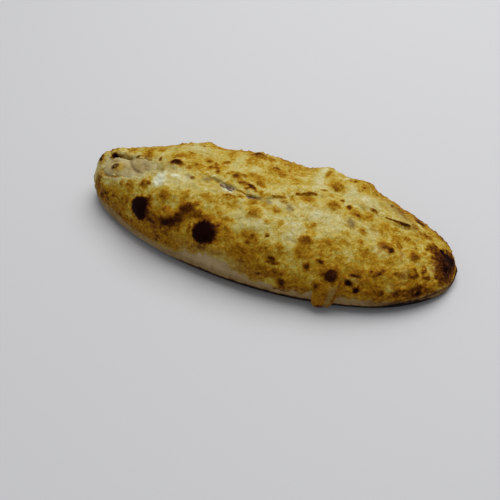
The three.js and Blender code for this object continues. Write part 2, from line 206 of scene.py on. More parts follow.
@dataclass(frozen=True)
class BreadForm:
    """Plain outer form of the whole bread, without seam or relief. A swell is a place, a reach and a share."""

    length: float = 252.0
    front_half: float = 52.5
    rear_half: float = 49.5
    height: float = 44.0
    rim_height: float = 7.5
    power: float = 2.2
    under_power: float = 2.6
    under_reach: float = 1.34
    rim_share: float = 0.45
    end_lift: float = 7.0
    end_reach: float = 0.03
    front_taper: Pair = (0.642, 0.489)
    rear_taper: Pair = (0.535, 0.537)
    height_taper: Pair = (0.298, 0.46)
    height_swells: tuple[Triple, ...] = (
        (-108, 16, 0.05), (-62, 14, 0.049), (30, 18, 0.02), (52, 14, 0.03), (90, 14, -0.032),
    )
    rear_swells: tuple[Triple, ...] = ((52, 14, 0.036), (90, 14, -0.041))
    front_swells: tuple[Triple, ...] = ((90, 20, 0.015),)
    end_fade: float = 0.015
    curl_angle: float = 0.76
    most_across: float = 0.97
    most_up: float = 0.8
    least_rise: float = 1e-6

    def station(self, x: float | Array) -> Array:
        """Share of the length at a place along the bread."""
        return np.asarray(x, dtype=float) / self.length + 0.5

    def _hump(self, u: Array, taper: Pair) -> Array:
        """Rise and fall of a size along the bread.

        Args:
            u: Stations.
            taper: Powers of its rise and its fall.

        Returns:
            Share of its largest value at each station.
        """
        rise, fall = taper
        peak = rise / (rise + fall)
        inside = np.clip(u, 0.0, 1.0)
        return inside**rise * (1 - inside) ** fall / (peak**rise * (1 - peak) ** fall)

    def _swollen(self, x: Array, swells: tuple[Triple, ...]) -> Array:
        """Local growth of a size.

        Args:
            x: Places along the bread.
            swells: Its swells.

        Returns:
            Factor of the size at each place.
        """
        size = np.ones_like(x)
        for centre, reach, share in swells:
            size = size * (1 + share * swell(x, centre, reach))
        return size

    def section(self, u: Array) -> Section:
        """Works out the cross-section.

        Args:
            u: Stations.

        Returns:
            Its sizes at each station.
        """
        u = np.asarray(u, dtype=float)
        x = (u - 0.5) * self.length
        top = self.height * self._hump(u, self.height_taper) * self._swollen(x, self.height_swells)
        top = np.maximum(self.end_lift, top)
        from_flat = 1 - np.minimum(1, np.minimum(u, 1 - u) / self.end_reach)
        base = self.end_lift * (1 - np.sqrt(np.maximum(0, 1 - from_flat**2)))
        return Section(
            x=x,
            front=self.front_half * self._hump(u, self.front_taper) * self._swollen(x, self.front_swells),
            rear=self.rear_half * self._hump(u, self.rear_taper) * self._swollen(x, self.rear_swells),
            top=top,
            base=base,
            rim=base + np.minimum(self.rim_height, self.rim_share * (top - base)),
        )

    def point(self, u: Array, angle: Array) -> Array:
        """Points of the form.

        Args:
            u: Stations.
            angle: Angles round the section: 0 rear rim, a quarter turn top, a half turn front rim.

        Returns:
            One point a row.
        """
        s = self.section(u)
        across, up = np.cos(angle), np.sin(angle)
        y = np.where(across > 0, s.rear, -s.front) * np.abs(across) ** (2 / self.power)
        above = (s.top - s.rim) * np.maximum(up, 0) ** (2 / self.power)
        reach = self.under_reach * np.maximum(-up, 0) ** (2 / self.under_power)
        below = (s.base - s.rim) * np.minimum(1, reach)
        return np.stack([s.x + 0 * y, y, s.rim + np.where(up >= 0, above, below)], axis=-1)

    def normal(self, u: Array, angle: Array) -> Array:
        """Outward directions of the form.

        Args:
            u: Stations.
            angle: Angles round the section.

        Returns:
            One direction a row.
        """
        along_step, round_step = 0.002, 0.02
        inner = np.clip(u, 2 * along_step, 1 - 2 * along_step)
        along = self.point(inner + along_step, angle) - self.point(inner - along_step, angle)
        round_ = self.point(inner, angle + round_step) - self.point(inner, angle - round_step)
        direction = np.cross(along, round_)
        direction /= np.linalg.norm(direction, axis=-1, keepdims=True) + 1e-12
        outward = direction[..., 1] * np.cos(angle) + direction[..., 2] * np.sin(angle)
        return np.where(outward[..., None] < 0, -direction, direction)

    def angle_at(self, u: Array, y: Array) -> Array:
        """Finds a place on the upper surface.

        Args:
            u: Stations.
            y: Places across the bread.

        Returns:
            Section angle of each.
        """
        s = self.section(u)
        share = np.clip(np.abs(y) / np.where(np.asarray(y) > 0, s.rear, s.front), 0, self.most_across)
        return np.arccos(np.sign(y) * share ** (self.power / 2))

    def angle_up(self, u: Array, z: Array) -> Array:
        """Finds a height on the side.

        Args:
            u: Stations.
            z: Heights.

        Returns:
            Section angle of each, measured up from the rim.
        """
        s = self.section(u)
        share = np.clip((z - s.rim) / np.maximum(s.top - s.rim, self.least_rise), 0, self.most_up)
        return np.arcsin(share ** (self.power / 2))

    def fade(self, u: Array) -> Array:
        """Relief fades out into the two ends."""
        return smooth(-self.end_fade / 3, self.end_fade, np.minimum(u, 1 - u))


@dataclass(frozen=True)
class Seam:
    """Lip of the rear flap, seen from above, and the step and groove that it makes."""

    path: tuple[Pair, ...] = (
        (-112, 7), (-101, 4.8), (-93, 3.2), (-84, 5.8), (-72, 2.4), (-62, -0.3), (-32, -5.5),
        (3, -12), (12, -8), (26, 1), (38, 4), (60, 6), (83, 6.6), (104, 9.5),
    )
    wave_height: float = 0.8
    wave_lengths: Pair = (4.7, 13)
    start: Pair = (-122, -108)
    finish: Pair = (98, 114)
    rise: float = 2.0
    curls: tuple[Triple, ...] = ((-97, 14, 1.2), (-4, 10, 0.8), (30, 9, 0.8), (88, 11, 1.4))
    open_places: tuple[Triple, ...] = (
        (-99, 8, 0.8), (-29, 6, 0.5), (-16, 5, 0.4), (-3, 7, 0.4), (9, 4, 0.4), (28, 5, 0.4), (87, 6, 0.5),
    )
    fused_share: float = 0.04
    fused_rise: float = 0.4
    softness: Pair = (2.6, 0.7)
    overhang: float = 1.5
    fade_reach: float = 10.0
    groove_depth: float = 1.7
    groove_width: float = 1.2
    foot: float = -0.9
    nose: float = 0.7

    def y(self, x: Array) -> Array:
        """Where the seam runs.

        Args:
            x: Places along the bread.

        Returns:
            Its place across the bread at each.
        """
        x = np.asarray(x, dtype=float)
        ends = np.array(self.path, dtype=float)
        k = np.clip(np.searchsorted(ends[:, 0], x), 1, len(ends) - 1)
        share = smooth(ends[k - 1, 0], ends[k, 0], x)
        short, long = self.wave_lengths
        wave = self.wave_height * np.sin(x / short) * np.sin(x / long + 1)
        return mixed(ends[k - 1, 1], ends[k, 1], share) + wave

    def strength(self, x: Array) -> Array:
        """1 where the seam runs, 0 beyond its two ends."""
        return smooth(*self.start, x) * (1 - smooth(*self.finish, x))

    def openness(self, x: Array) -> Array:
        """1 where the lip stands free, less where cheese has closed the seam."""
        most = np.max([share * swell(x, place, reach) for place, reach, share in self.open_places], axis=0)
        return self.fused_share + (1 - self.fused_share) * most

    def step(self, x: Array, offset: Array) -> Array:
        """Rise of the surface beside the seam.

        Args:
            x: Places along the bread.
            offset: Distances across the seam, positive on the flap.

        Returns:
            The rise at each place.
        """
        openness = self.openness(x)
        rise = self.rise + sum(extra * swell(x, place, reach) for place, reach, extra in self.curls)
        rise = rise * mixed(self.fused_rise, 1, openness)
        faded = np.exp(-np.abs(offset) / self.fade_reach) * np.tanh(offset / mixed(*self.softness, openness))
        groove = swell(offset, self.foot, self.groove_width) * openness
        return self.strength(x) * (0.5 * rise * faded - self.groove_depth * groove)


# Broad lumps, seen from above: x, y, reach, height
LUMPS: tuple[Quad, ...] = (
    (-115, 8, 8, 2.6), (-60, 20, 15, 1.8), (-14, 27, 13, 1.6), (14, 22, 10, -1.2), (36, 24, 8, 2.0),
    (62, 14, 10, 2.2), (-48, -22, 14, 1.6), (-14, -22, 9, -1.2), (8, -30, 14, 1.8), (34, -20, 8, -1.2),
    (56, -22, 12, 1.4), (88, -22, 12, 1.2), (-94, -22, 9, -1.3), (47, 11, 5, -1.6), (-34, 10, 9, -1.2),
    (96, -2, 9, -1.0), (-40, -40, 9, -1.0), (54, 27, 10, 2.4), (-72, 24, 14, -1.2), (33, 36, 7, 3.4),
    (14, 31, 11, -2.4), (-118, 5, 5, 2.2), (-108, 10, 6, 1.2), (-50, 31, 5, 2.2), (60, 31, 6, 2.2),
)

# Blistered bubbles, seen from above: x, y, radius, height
BUBBLES: tuple[Quad, ...] = (
    (-73, -31, 7, 2.4), (-24, -40, 8, 2.6), (-50, -36, 7, 1.2), (-58, 0, 5.5, 1.5), (-58, -23, 6, 1.5),
    (-74, -17, 5, 1.2), (-18, 2, 5, 1.5), (2, -23, 5.5, 1.5), (45, -1, 5.5, 1.5), (38, -31, 6, 1.5),
    (44, 17, 7, 1.5), (5, 16, 6, 1.3), (-13, 30, 7, 1.3), (56, -42, 6, 1.6), (84, -15, 5.5, 1.4),
    (117, -3, 7, 1.5), (117, -14, 6, 1.2), (100, -12, 5, 1.2), (100, -22, 5, 1.2), (66, 1, 5, 1.1),
    (82, -32, 6, 1.3), (70, -38, 5, 1.1), (-105, 8, 6, 1.4), (-102, -7, 5, 1.2), (-42, 20, 7, 1.2),
    (-84, 14, 6, 1.2), (20, -38, 6, 1.2), (-90, -30, 5, 1.2), (25, 32, 7, 1.2), (78, 26, 6, 1.2),
)

# Folds pressed into the bare, pinched end, as lines on its surface: places, depth, width
CREASES: tuple[tuple[tuple[Pair, ...], float, float], ...] = (
    (((-94.8, 3), (-92.2, -1), (-88.2, -5.6), (-84.4, -7.6), (-81.4, -8.6)), 1.15, 1.1),
    (((-114, -4), (-111, -8), (-104, -11), (-97, -11.4)), 0.9, 1.1),
    (((-84, 1), (-79, -4), (-77, -9)), 0.7, 1.8),
)


class Face(Enum):
    """How a place is named: seen from above, or seen from the front."""

    TOP = "x and y"
    FRONT = "x and height"


class Tone(Enum):
    """Named depths of browning, with the value that each gives."""

    # The two palest tones also serve as painted highlights on the oily cheese
    CREAM_HIGHLIGHT = -0.27
    MILK_AND_HIGHLIGHT = -0.06
    PALE = 0.03
    BUTTER = 0.2
    HONEY = 0.33
    GOLD = 0.46
    OCHRE = 0.56
    RUST = 0.65
    BROWN = 0.78
    DARK = 0.97
    BLACK = 1.3


@dataclass(frozen=True)
class Marks:
    """Marks of one tone: each place has two positions, length, width and, where it is turned, degrees."""

    tone: Tone
    face: Face
    softness: float
    places: tuple[tuple[float, ...], ...]


@dataclass(frozen=True)
class Stroke:
    """A long mark that only darkens: tone, width, softness and the places along it, seen from above."""

    tone: float
    width: float
    softness: float
    places: tuple[Pair, ...]


# Browning of the crust. A later group lies over an earlier one.
# Most marks are browning; some dark marks along the seam are painted shade, and the palest are partly painted
# highlights
BROWNING_SHADE_AND_HIGHLIGHT_MARKS: tuple[Marks, ...] = (
    Marks(Tone.OCHRE, Face.FRONT, 0.7, (
        (-112, 15, 14, 16), (-92, 15, 24, 10), (-72, 12, 18, 8), (-54, 12, 7, 10), (2, 28, 20, 9),
        (12, 15, 14, 9), (16, 23, 12, 5), (90, 13, 22, 9), (108, 13, 12, 8), (57, 27, 15, 9), (77, 22, 14, 6),
        (-62, 24, 12, 8), (-27, 23, 11, 4), (54, 20, 6, 8),
    )),
    Marks(Tone.GOLD, Face.FRONT, 0.7, (
        (-43, 22, 18, 11, -20), (-100, 25, 20, 8), (2, 22, 12, 8), (66, 27, 10, 5), (96, 20, 18, 7),
        (112, 14, 8, 7), (70, 13, 18, 5),
    )),
    Marks(Tone.BUTTER, Face.FRONT, 0.7, (
        (34, 28, 15, 10), (-83, 21, 8, 8), (-13, 20, 22, 5), (22, 15, 10, 6), (46, 22, 10, 8),
        (-46, 24, 7, 4), (22, 26, 9, 5),
    )),
    Marks(Tone.PALE, Face.TOP, 0.7, (
        (30, 23, 6, 32), (54, 17, 8, 16), (66, 13, 14, 9), (15, -9, 14, 9, -10), (44, -9, 22, 8, -4),
        (-53, -8, 20, 10, -8), (-65, -12, 12, 10), (-99, -12.5, 17, 5.4, -8), (-121, -3, 7, 14),
        (-103, 11, 6, 5), (-52, 21, 20, 12, -15), (-22, 20, 6, 12), (-9, 14, 8, 7), (-10, -15, 4, 8),
        (-8, -23, 12, 9), (5, -27, 16, 8, -4), (27, -30, 7, 13), (20, -20, 12, 7), (28, -22, 10, 8),
        (71, -6, 10, 7), (103, 1, 8, 7), (110.8, -10.8, 4.4, 9), (98, 16, 9, 5, -25), (-76, -5, 18, 10),
        (50, -14, 10, 6), (38, 36, 5, 12), (43, 28, 6, 6), (50, 19.6, 6, 5), (-28, -2.4, 12, 4, -14),
        (-86, -13, 5, 4), (-104, -14.4, 12, 4, -6), (100, 2.6, 6, 4), (92.6, -17, 4, 7), (104.6, -8.6, 4, 4),
        (-69, 4.6, 9, 6), (-31, -14, 14, 5, -8), (63, -13.6, 9, 7), (37, -10.6, 14, 5, -10), (29, -5, 9, 5),
        (38, 12.6, 8, 6), (51, 16, 6, 10), (-90, 9, 5, 8), (12, 5, 8, 5), (41, -22, 8, 9),
        (-58, -16, 14, 5, -8), (16, -31, 6, 6), (-40, 17, 5, 5),
    )),
    # Pale cheese, partly painted highlight: (-64.6, -12.4) and (-50, -9.4) are painted glints on oily cheese
    Marks(Tone.MILK_AND_HIGHLIGHT, Face.TOP, 0.6, (
        (-64.6, -12.4, 8, 8), (-50, -9.4, 8, 4.4, -8), (31, 33, 4.4, 9), (31.6, 18, 5, 12), (46, 33, 4, 7),
        (29.5, 14, 4, 5), (-22, -10, 5, 2.4), (-98, -12.4, 7, 3, -8), (61, 14, 5, 4), (13.4, -8.4, 4, 3),
        (38, -9.6, 7, 3, -8), (-80, -10.6, 8, 3), (-108.4, -9, 4, 6),
    )),
    # Painted highlights: wet glints on the cheese near the seam and the bare end
    Marks(Tone.CREAM_HIGHLIGHT, Face.TOP, 0.5, (
        (-64.8, -13.4, 8, 11), (-90, -11, 5, 2.2), (-19.6, -9.2, 7, 1.8, -8), (-56, -8.6, 5, 3),
    )),
    Marks(Tone.BUTTER, Face.TOP, 0.8, (
        (-26, -20, 26, 11, -6), (-40, 12, 22, 14), (0, 6, 22, 10), (66, -20, 12, 14), (80, -19, 13, 8),
        (88, -35, 7, 5), (63, -35.6, 5, 5), (97, -29.6, 5, 4), (96, -14, 26, 20, -10), (104, -4, 9, 8),
        (84, 17, 26, 7, -18), (100, 6, 14, 12), (70, 2, 18, 6), (-92, 14, 10, 8), (26, 14, 8, 6),
    )),
    Marks(Tone.HONEY, Face.TOP, 0.7, (
        (-108, 10.4, 10, 5), (-97, 14, 6, 12), (-83, 9, 9, 13), (-58, 9, 17, 8, 18), (-45, 4, 12, 7),
        (-33, 8, 10, 9), (-29, 24, 7, 6), (-6, 5, 12, 7), (-13, 22, 8, 10), (4, 18, 13, 11),
        (18, 14, 10, 6, -30), (-27, -19.6, 9, 4, -5), (-2, -14, 6, 9), (43, 18.4, 11, 9), (60, 30, 14, 16),
        (37.4, -31, 8, 12), (13, -16, 8, 5), (2, -21, 9, 8), (45.4, 1, 9, 8), (29, 0, 9, 6), (62, 1, 14, 6),
        (78, -1.6, 7, 12), (87, -4, 8, 11), (94, 1, 10, 5), (98, -10, 9, 9), (100.4, -20.6, 10, 9),
        (57, -22.4, 8, 6), (70, -25, 8, 14), (84, -30, 22, 9, 20), (67, -34, 15, 6), (103, 11, 12, 5),
        (-57, -23, 13, 9), (-75, -17.4, 8, 6), (-90, -23, 24, 9, -15), (-86, -17, 8, 4), (78, -26, 10, 8),
        (14, -38, 14, 6), (90, -14, 8, 6), (-49, 32, 24, 6), (12, 34, 20, 6), (-80, 17, 12, 5),
        (66.4, -9.4, 5, 6), (71.6, -4, 4, 5), (-13.6, -17.6, 8, 6), (6.6, -13.6, 5, 4), (20.4, -3, 5, 5),
        (39, -23, 5, 5), (19.6, -23, 4, 4), (12, -24.6, 4, 3), (4.6, -6, 4, 3), (15.4, -7, 5, 4),
        (28, 4.4, 10, 3, 18), (55, -27, 6, 4), (54.6, -35, 5, 5), (56.6, -17, 5, 3), (104.4, -17, 5, 5),
        (47, -31, 12, 4), (59, -31.4, 6, 5), (67, -31.6, 6, 5), (76, -23, 5, 6), (99, 8, 6, 3), (57, 3, 9, 3),
    )),
    Marks(Tone.GOLD, Face.TOP, 0.5, (
        (-83, 10, 6, 10, 20), (-81.4, 4.4, 5, 6), (-97, 13, 4, 9), (-110, 10, 6, 3.4), (-58, 9, 9, 5, 18),
        (-53, 13.6, 5, 3), (-45.6, 3.6, 4, 3), (-49, 1.4, 4, 3), (-37, 6, 5, 5), (-41, 12.5, 5, 4),
        (-30, 14.4, 6, 5), (-27, 19, 3, 2.4), (-30, 26, 5, 4), (-16, 21.6, 3, 4), (-8, 7.4, 6, 4),
        (-3, 6.4, 5, 3.4), (-1.6, 1.2, 7, 4, -20), (3, 19, 9, 7), (8, 15, 7, 5), (34.5, 28, 3.4, 10),
        (43, 17.6, 7, 6), (42, 8.5, 3.6, 3.6), (30, 0.6, 7, 5), (45.6, 1, 7, 6.4), (-17.4, -14.4, 7, 2.6, 4),
        (-31, -17.4, 6, 3.4), (-56, -23.6, 7, 5.4), (1.5, -21.4, 5, 5), (-1, -13, 5, 6), (13.5, -15.5, 5, 4),
        (38, -17, 4, 3), (36.5, -28.4, 8, 6), (35, -35.5, 5, 9), (50, -25, 5, 5), (58.6, -31.4, 4, 4),
        (67, -17, 3, 5), (71.5, -22.6, 4, 6), (74, -34, 6, 6), (61, 0.5, 8, 3.4), (67.5, 3.5, 4.4, 6),
        (79, 2.6, 4, 6), (86.4, -3.6, 5, 8), (94, 1, 8, 3.4), (99, -9.6, 7, 8), (101, -21, 8, 7),
        (106.4, -14.6, 3, 5), (81.6, -29.2, 11, 5, 35), (103, 11, 8, 3.4), (95, 14, 5, 5), (69, 9, 6, 3),
        (60, 34, 8, 10), (56.6, 20.4, 3, 4), (6.5, 34, 5, 6), (-4, 31, 7, 5), (-92, -24, 20, 7, -15),
        (-92.4, -15.6, 4, 5), (-86, -16, 6, 4.4), (-84, -19, 5, 6), (-74, -16.6, 6, 5), (-50, 34, 12, 4),
        (-103, -19.6, 8, 3, -10), (-16, -36, 10, 14), (3.4, -35, 12, 8), (87.4, -27.6, 6, 4),
        (47, -26.6, 6, 5), (48.4, -33.4, 8, 3), (40, -35, 7, 5), (82, -11, 9, 5), (79, -31, 7, 5),
        (-67, -26, 6, 8), (-34.6, -23.6, 5, 4), (-43.6, -19.8, 6, 4), (-44, -23.4, 4, 3), (-20.6, 5, 5, 3),
        (-10, -11.4, 4, 2.4), (109.6, 6, 6, 4), (107, 0.6, 6, 5), (76, -22.4, 4, 5), (-12, -1.4, 7, 4, -20),
        (2, -7, 4, 3), (-13.4, -28.8, 9, 4), (-19, -26.4, 4, 4), (-8, -37.4, 7, 6), (66.4, -9.4, 3, 5),
        (102, -25, 14, 6, 20), (-58.4, 24, 5, 3), (84, 22, 12, 3, -28), (-11, -36, 6, 10), (86, -21, 5, 4),
        (14, -39, 7, 4), (-76, 15, 7, 4),
    )),
    Marks(Tone.OCHRE, Face.TOP, 0.5, (
        (-33.6, 7.6, 10, 2.6, -61), (-18.2, 2.6, 5, 4), (36.6, -28.4, 7, 5), (89, -7.4, 4.6, 5),
        (-83.6, 8.6, 4, 7, 20), (1.6, -21.4, 4, 5), (-13, 30, 12, 5), (45.8, 1, 4, 4), (29.8, 0.2, 4, 3.4),
        (-57, -23.4, 5, 4.4), (-66, -31, 6, 9), (-1.8, 1, 5, 3, -20), (-24, -30, 9, 4), (34.5, 28, 2.4, 7),
        (-115, -9, 6, 14, -10), (-105, -20, 7, 4, -25), (-60, 7, 7, 3, 10), (56, -40.6, 12, 9),
        (99.2, -10.4, 6, 6), (-17, -36, 7, 12), (-86, -24, 8, 7), (4, -36, 6, 4), (-67.4, -25.6, 5, 6),
        (-12, -1.6, 4, 2.6), (94, -25, 6, 4), (70, -34, 6, 4), (-108, 11, 4, 2), (-53, -29.6, 7, 4),
        (-62, -38.4, 12, 5), (-51, -39, 10, 4), (-13.6, 4.4, 4, 3), (-12, 27, 16, 4),
    )),
    Marks(Tone.RUST, Face.TOP, 0.5, (
        (-33.6, 7.4, 8, 1.8, -61), (-31, 2.6, 3.6, 3.4), (-37, 6, 3, 3), (-18, 1.8, 4, 3),
        (-44.2, -7.4, 2.8, 2.2), (-72, 4.6, 2.2, 3.4), (2.6, 20, 4.6, 4), (-3, 2, 4, 2.4, -20),
        (49, 7.8, 2.8, 2.2), (37.4, -28.4, 4.4, 4), (-8.4, -5, 4, 2), (43, 16, 4, 2.4),
        (14.4, -16.4, 3, 2, -20), (-40.6, 12.4, 3, 2), (-75, -16.6, 3, 3), (-70.6, -16, 2.4, 2.4),
        (-113, -9.4, 2.4, 9, -10), (79, -13, 6, 4, -10), (108, -19, 6, 2.2), (61, 0, 4, 2), (69, 9.4, 4, 1.8),
        (103, 11, 5, 1.8), (23.6, -36, 3.4, 2.4), (-29.6, 15, 3, 3), (9, 15.4, 3, 2), (106.5, -16, 2, 5),
        (-46, 4.4, 2.2, 1.8), (-17.6, -36, 4, 9), (-35.6, -37, 3, 8), (-24, 3, 2.4, 1.6), (-12.6, -0.6, 3, 2),
        (66.4, -9.6, 2, 3.4), (-101, 13, 2.4, 2), (36.8, 11.2, 5, 1.4, 25),
    )),
    # Painted shade: (-6, -3), (54.4, 4) and (87, 10.6) are dark slits under the flap's lip along the seam
    Marks(Tone.BROWN, Face.TOP, 0.5, (
        (-13, 30, 8, 3.6), (-98, -20.6, 2.4, 2.2), (-106, -17, 7, 2.2, -25), (-68.8, -27.4, 8, 7),
        (-66, -32, 6, 6), (81, -13.4, 5, 3.6, -10), (99.2, -10.4, 3.6, 3.8), (54.4, 4, 3.2, 4),
        (47.6, -36, 5.4, 2.2), (69.6, -35.8, 8, 2.4, 4), (81.6, -29.6, 8, 2.6, 38), (94, -34.2, 4.4, 2.6),
        (14, -32, 3, 2), (-58.4, 1.2, 9.6, 4.2), (-6, -3, 8, 3.8, -32), (-116.4, 5, 4, 6, -20),
        (117.6, -11.4, 10, 11), (97, 20.6, 10, 4, -30), (116.6, -3, 17, 19), (104, -27.6, 13, 4.4, 30),
        (-31, 2.6, 2, 2), (21, -43.6, 7, 2.4), (87, 10.6, 8, 2, 18), (3, 20.4, 3, 2.2),
        (-106, 4.8, 9, 4.6, -10), (-62, -34.6, 6, 4), (-18, 1.6, 2, 1.6), (109.4, 2.8, 8, 7),
        (114.6, -12, 6, 7), (118.6, 8, 7, 5), (122.6, 3, 9, 12), (121.8, -7, 9, 10), (91, -25.6, 2.4, 2.2),
        (-3, -10, 7, 1.4, -10), (78, 23, 2.4, 2), (-50, 26, 2.4, 1.6), (-105.6, -22.6, 2, 2),
    )),
    # Painted shade: (-6, -3), (54.4, 3.8) and (88.6, 11) are dark slits under the flap's lip along the seam
    Marks(Tone.DARK, Face.TOP, 0.45, (
        (-59, 1.2, 6.6, 2.8), (117, -1, 14, 15), (84.8, -14.2, 3.4, 4.4, -20), (-6, -3, 6.4, 2.6, -32),
        (88.6, 11, 6.4, 2, 16), (56, -41, 7, 6), (-116.8, 5.2, 2.6, 4), (-103, -20, 2.2, 1.8),
        (119.4, -6.6, 5, 5), (-106, 4.8, 7.6, 3.8, -10), (54.4, 3.8, 2.2, 2.6), (97.4, 20.6, 7, 2.4, -30),
        (48.3, -36.6, 3, 1.8), (69.4, -36, 5, 1.4, 4), (105.6, -28, 5, 2.4, 30), (-69.8, -27, 6.6, 6),
        (-63, -34, 3, 2), (118.4, -8.4, 8, 8), (121.8, 4, 7, 9),
    )),
    Marks(Tone.BROWN, Face.FRONT, 0.5, (
        (20.2, 28.4, 5.6, 3.4), (28, 17, 6, 5), (29.3, 13, 5, 5, -30), (27.5, 21.5, 2.4, 2),
        (28, 10.6, 7, 2.6), (47.6, 19, 3, 2), (93.5, 14.8, 4, 2.6), (85.6, 16, 4, 4), (97, 9.6, 5, 3),
        (2, 23.6, 3, 2.4), (-110, 17, 3, 7, -20), (13, 19, 4, 2.4), (-57, 17.6, 4, 2.6),
        (111.4, 12.6, 7, 2.4, -8), (112, 12, 6, 4), (-26, 23.4, 8, 2.4), (66.6, 21.4, 6, 4.4),
        (71.8, 17.8, 4.6, 4.6), (41, 27.5, 4.4, 4),
    )),
    Marks(Tone.DARK, Face.FRONT, 0.4, (
        (-103, 19.4, 3, 1.8), (28.6, 16.4, 3, 2.4), (20.4, 28.4, 3, 2), (56.2, 25.4, 5.6, 4.4),
        (66.6, 21.4, 4.6, 3.2), (71.8, 17.8, 3.4, 3.4), (41, 27.5, 3, 2.6),
    )),
    Marks(Tone.BROWN, Face.TOP, 0.3, (
        (100.6, -21, 6.6, 6), (109.8, -18, 3, 2.6), (99.2, -10.2, 4.4, 4.4), (106.6, -14.4, 3, 4, 20),
    )),
    Marks(Tone.BROWN, Face.FRONT, 0.3, (
        (99, 15, 5, 4.4), (105.2, 13.6, 8, 7), (94.2, 14.4, 3.6, 3.2), (86, 16.4, 3.4, 3.4),
    )),
    Marks(Tone.GOLD, Face.TOP, 0.35, (
        (99.4, -20.4, 4, 3.8), (106, -13.8, 1.8, 2.2, 20), (98.4, -9.6, 1.4, 1.4),
    )),
    Marks(Tone.OCHRE, Face.FRONT, 0.35, (
        (98.8, 15.2, 2.2, 2),
    )),
    Marks(Tone.DARK, Face.FRONT, 0.3, (
        (105.2, 13.6, 6.4, 5.4),
    )),
    Marks(Tone.RUST, Face.FRONT, 0.35, (
        (104.2, 14.2, 2.8, 2.4),
    )),
    Marks(Tone.BLACK, Face.TOP, 0.27, (
        (-73.4, -28.2, 12.2, 12.2), (-25.2, -37.5, 15.2, 14.2), (119, 3, 8.6, 7, -20), (118, -6, 3.4, 3.4),
        (114.6, 4.4, 5, 3.4, -20), (-106, 4.8, 6, 2.8, -10), (-70.4, -26.8, 4, 4), (-71.6, -31.4, 8, 7),
    )),
    Marks(Tone.BLACK, Face.FRONT, 0.4, (
        (66.4, 21.4, 3, 2.2), (71.8, 17.8, 2.4, 2.6), (105.8, 12.8, 1.8, 1.8),
    )),
)

# Long dark marks: the burnt band between the blisters is browning; the thin lines marked below are painted shade
BROWNING_AND_SHADE_STROKES: tuple[Stroke, ...] = (
    Stroke(0.66, 9, 0.9, ((-65, -33), (-57, -35.6), (-49, -35.6), (-43, -32), (-39, -28))),
    Stroke(0.7, 6, 0.8, ((-40, -28.6), (-34, -29.4), (-29, -31))),
    Stroke(0.92, 5.4, 0.8, ((-54, -35), (-49, -35.2), (-43.6, -33))),
    Stroke(0.92, 5.6, 0.8, ((-41, -28), (-38.4, -26.6))),
    Stroke(1.05, 2.8, 0.8, ((-52, -35.2), (-45.6, -34.6))),
    # Painted shade: the dark line under the flap's lip at the bare end, and the dark crease along the bare end's
    # lower edge
    Stroke(0.6, 1.2, 0.5, ((-102, 6.2), (-99, 5.2), (-95, 4.8), (-91.5, 5.4), (-89, 6.4))),
    Stroke(0.5, 1.3, 0.6, ((-89, 6.4), (-86, 7.6), (-83, 8.4))),
    Stroke(0.6, 1.5, 0.6, ((-110, -8.6), (-104, -10.6), (-98.6, -11.6), (-95, -11.2))),
    # Painted shade under the flap's lip
    Stroke(0.8, 1.1, 0.5, ((77, 9.4), (80, 9.6), (84, 10.2))),
    Stroke(0.55, 1.6, 0.6, ((-3, -5.6), (2, -5))),
    Stroke(0.5, 1.1, 0.6, ((-14, -7.2), (-11, -8), (-8.4, -8.8))),
    Stroke(0.68, 1.3, 0.6, ((-21, -13.8), (-18, -12.2), (-15.4, -12.4), (-13, -12.8))),
    Stroke(0.46, 3.2, 0.8, ((-17, 2), (-13.6, 0), (-11.6, -2))),
    # Painted shade in the crease along the seam
    Stroke(0.66, 1.7, 0.5, ((22, 1.4), (26, 3.6), (30, 5.2), (33, 6))),
    Stroke(0.56, 1.4, 0.6, ((9, -5.4), (13, -4.8), (16.4, -4.6))),
    Stroke(0.42, 1.5, 0.7, ((17.7, -7.8), (21, -10.2), (23.4, -11.7))),
)

# Places where the greyish dough or filling shows through thin cheese: strength, and the mark
LILAC: tuple[tuple[float, tuple[float, ...]], ...] = (
    (1.0, (-35.4, -5, 6, 3.2, -8)), (0.55, (-29.6, -3.4, 9, 2.6, -8)), (0.7, (-46.5, -6.6, 6, 2.6, -16)),
    (0.6, (-21, -6.4, 10, 4, -14)), (0.65, (0.6, -10.2, 11, 3.6, -4)), (1.0, (7.6, -10.8, 3.4, 5, 35)),
    (0.9, (21.3, -11, 4, 6, 30)), (1.0, (58.9, -7.3, 4.6, 7.5, 25)), (0.5, (-108, -7, 6, 4)),
    (0.4, (-62, -2, 12, 5, -20)), (0.45, (-73, -3, 14, 9)), (0.5, (82, 21, 24, 6, -22)),
    (0.3, (-84, -2, 10, 7)), (0.6, (-66, -5.8, 5, 4)),
)

# Places where the cheese is thin and creamy
THIN: tuple[tuple[float, ...], ...] = (
    (-68, -6, 40, 15, -8), (-97, -12, 20, 6, -8), (43, -9, 26, 10, -8), (15, -9, 14, 8), (111, -10.6, 5, 10),
    (54, 16, 9, 13), (65, 12, 14, 9), (30, 23, 6, 24), (-52, 21, 19, 12, -15), (3, -28, 16, 8, -4),
    (28, -26, 9, 14), (-22, -9, 12, 4, -10), (84, 16, 26, 7, -16), (71, -6, 10, 7), (-121, -3, 7, 16),
    (79, -17, 9, 7), (92, -13, 4, 8), (96, -24, 4, 8), (69, -38, 6, 4), (90, -33.6, 5, 5),
)

# Openings along the seam: x, y, half length, half width
SEAM_GAPS: tuple[Quad, ...] = ((-23.4, -6.6, 2.8, 1.5), (-19.0, -7.6, 2.4, 1.5), (-4.2, -9.7, 2.8, 1.1))


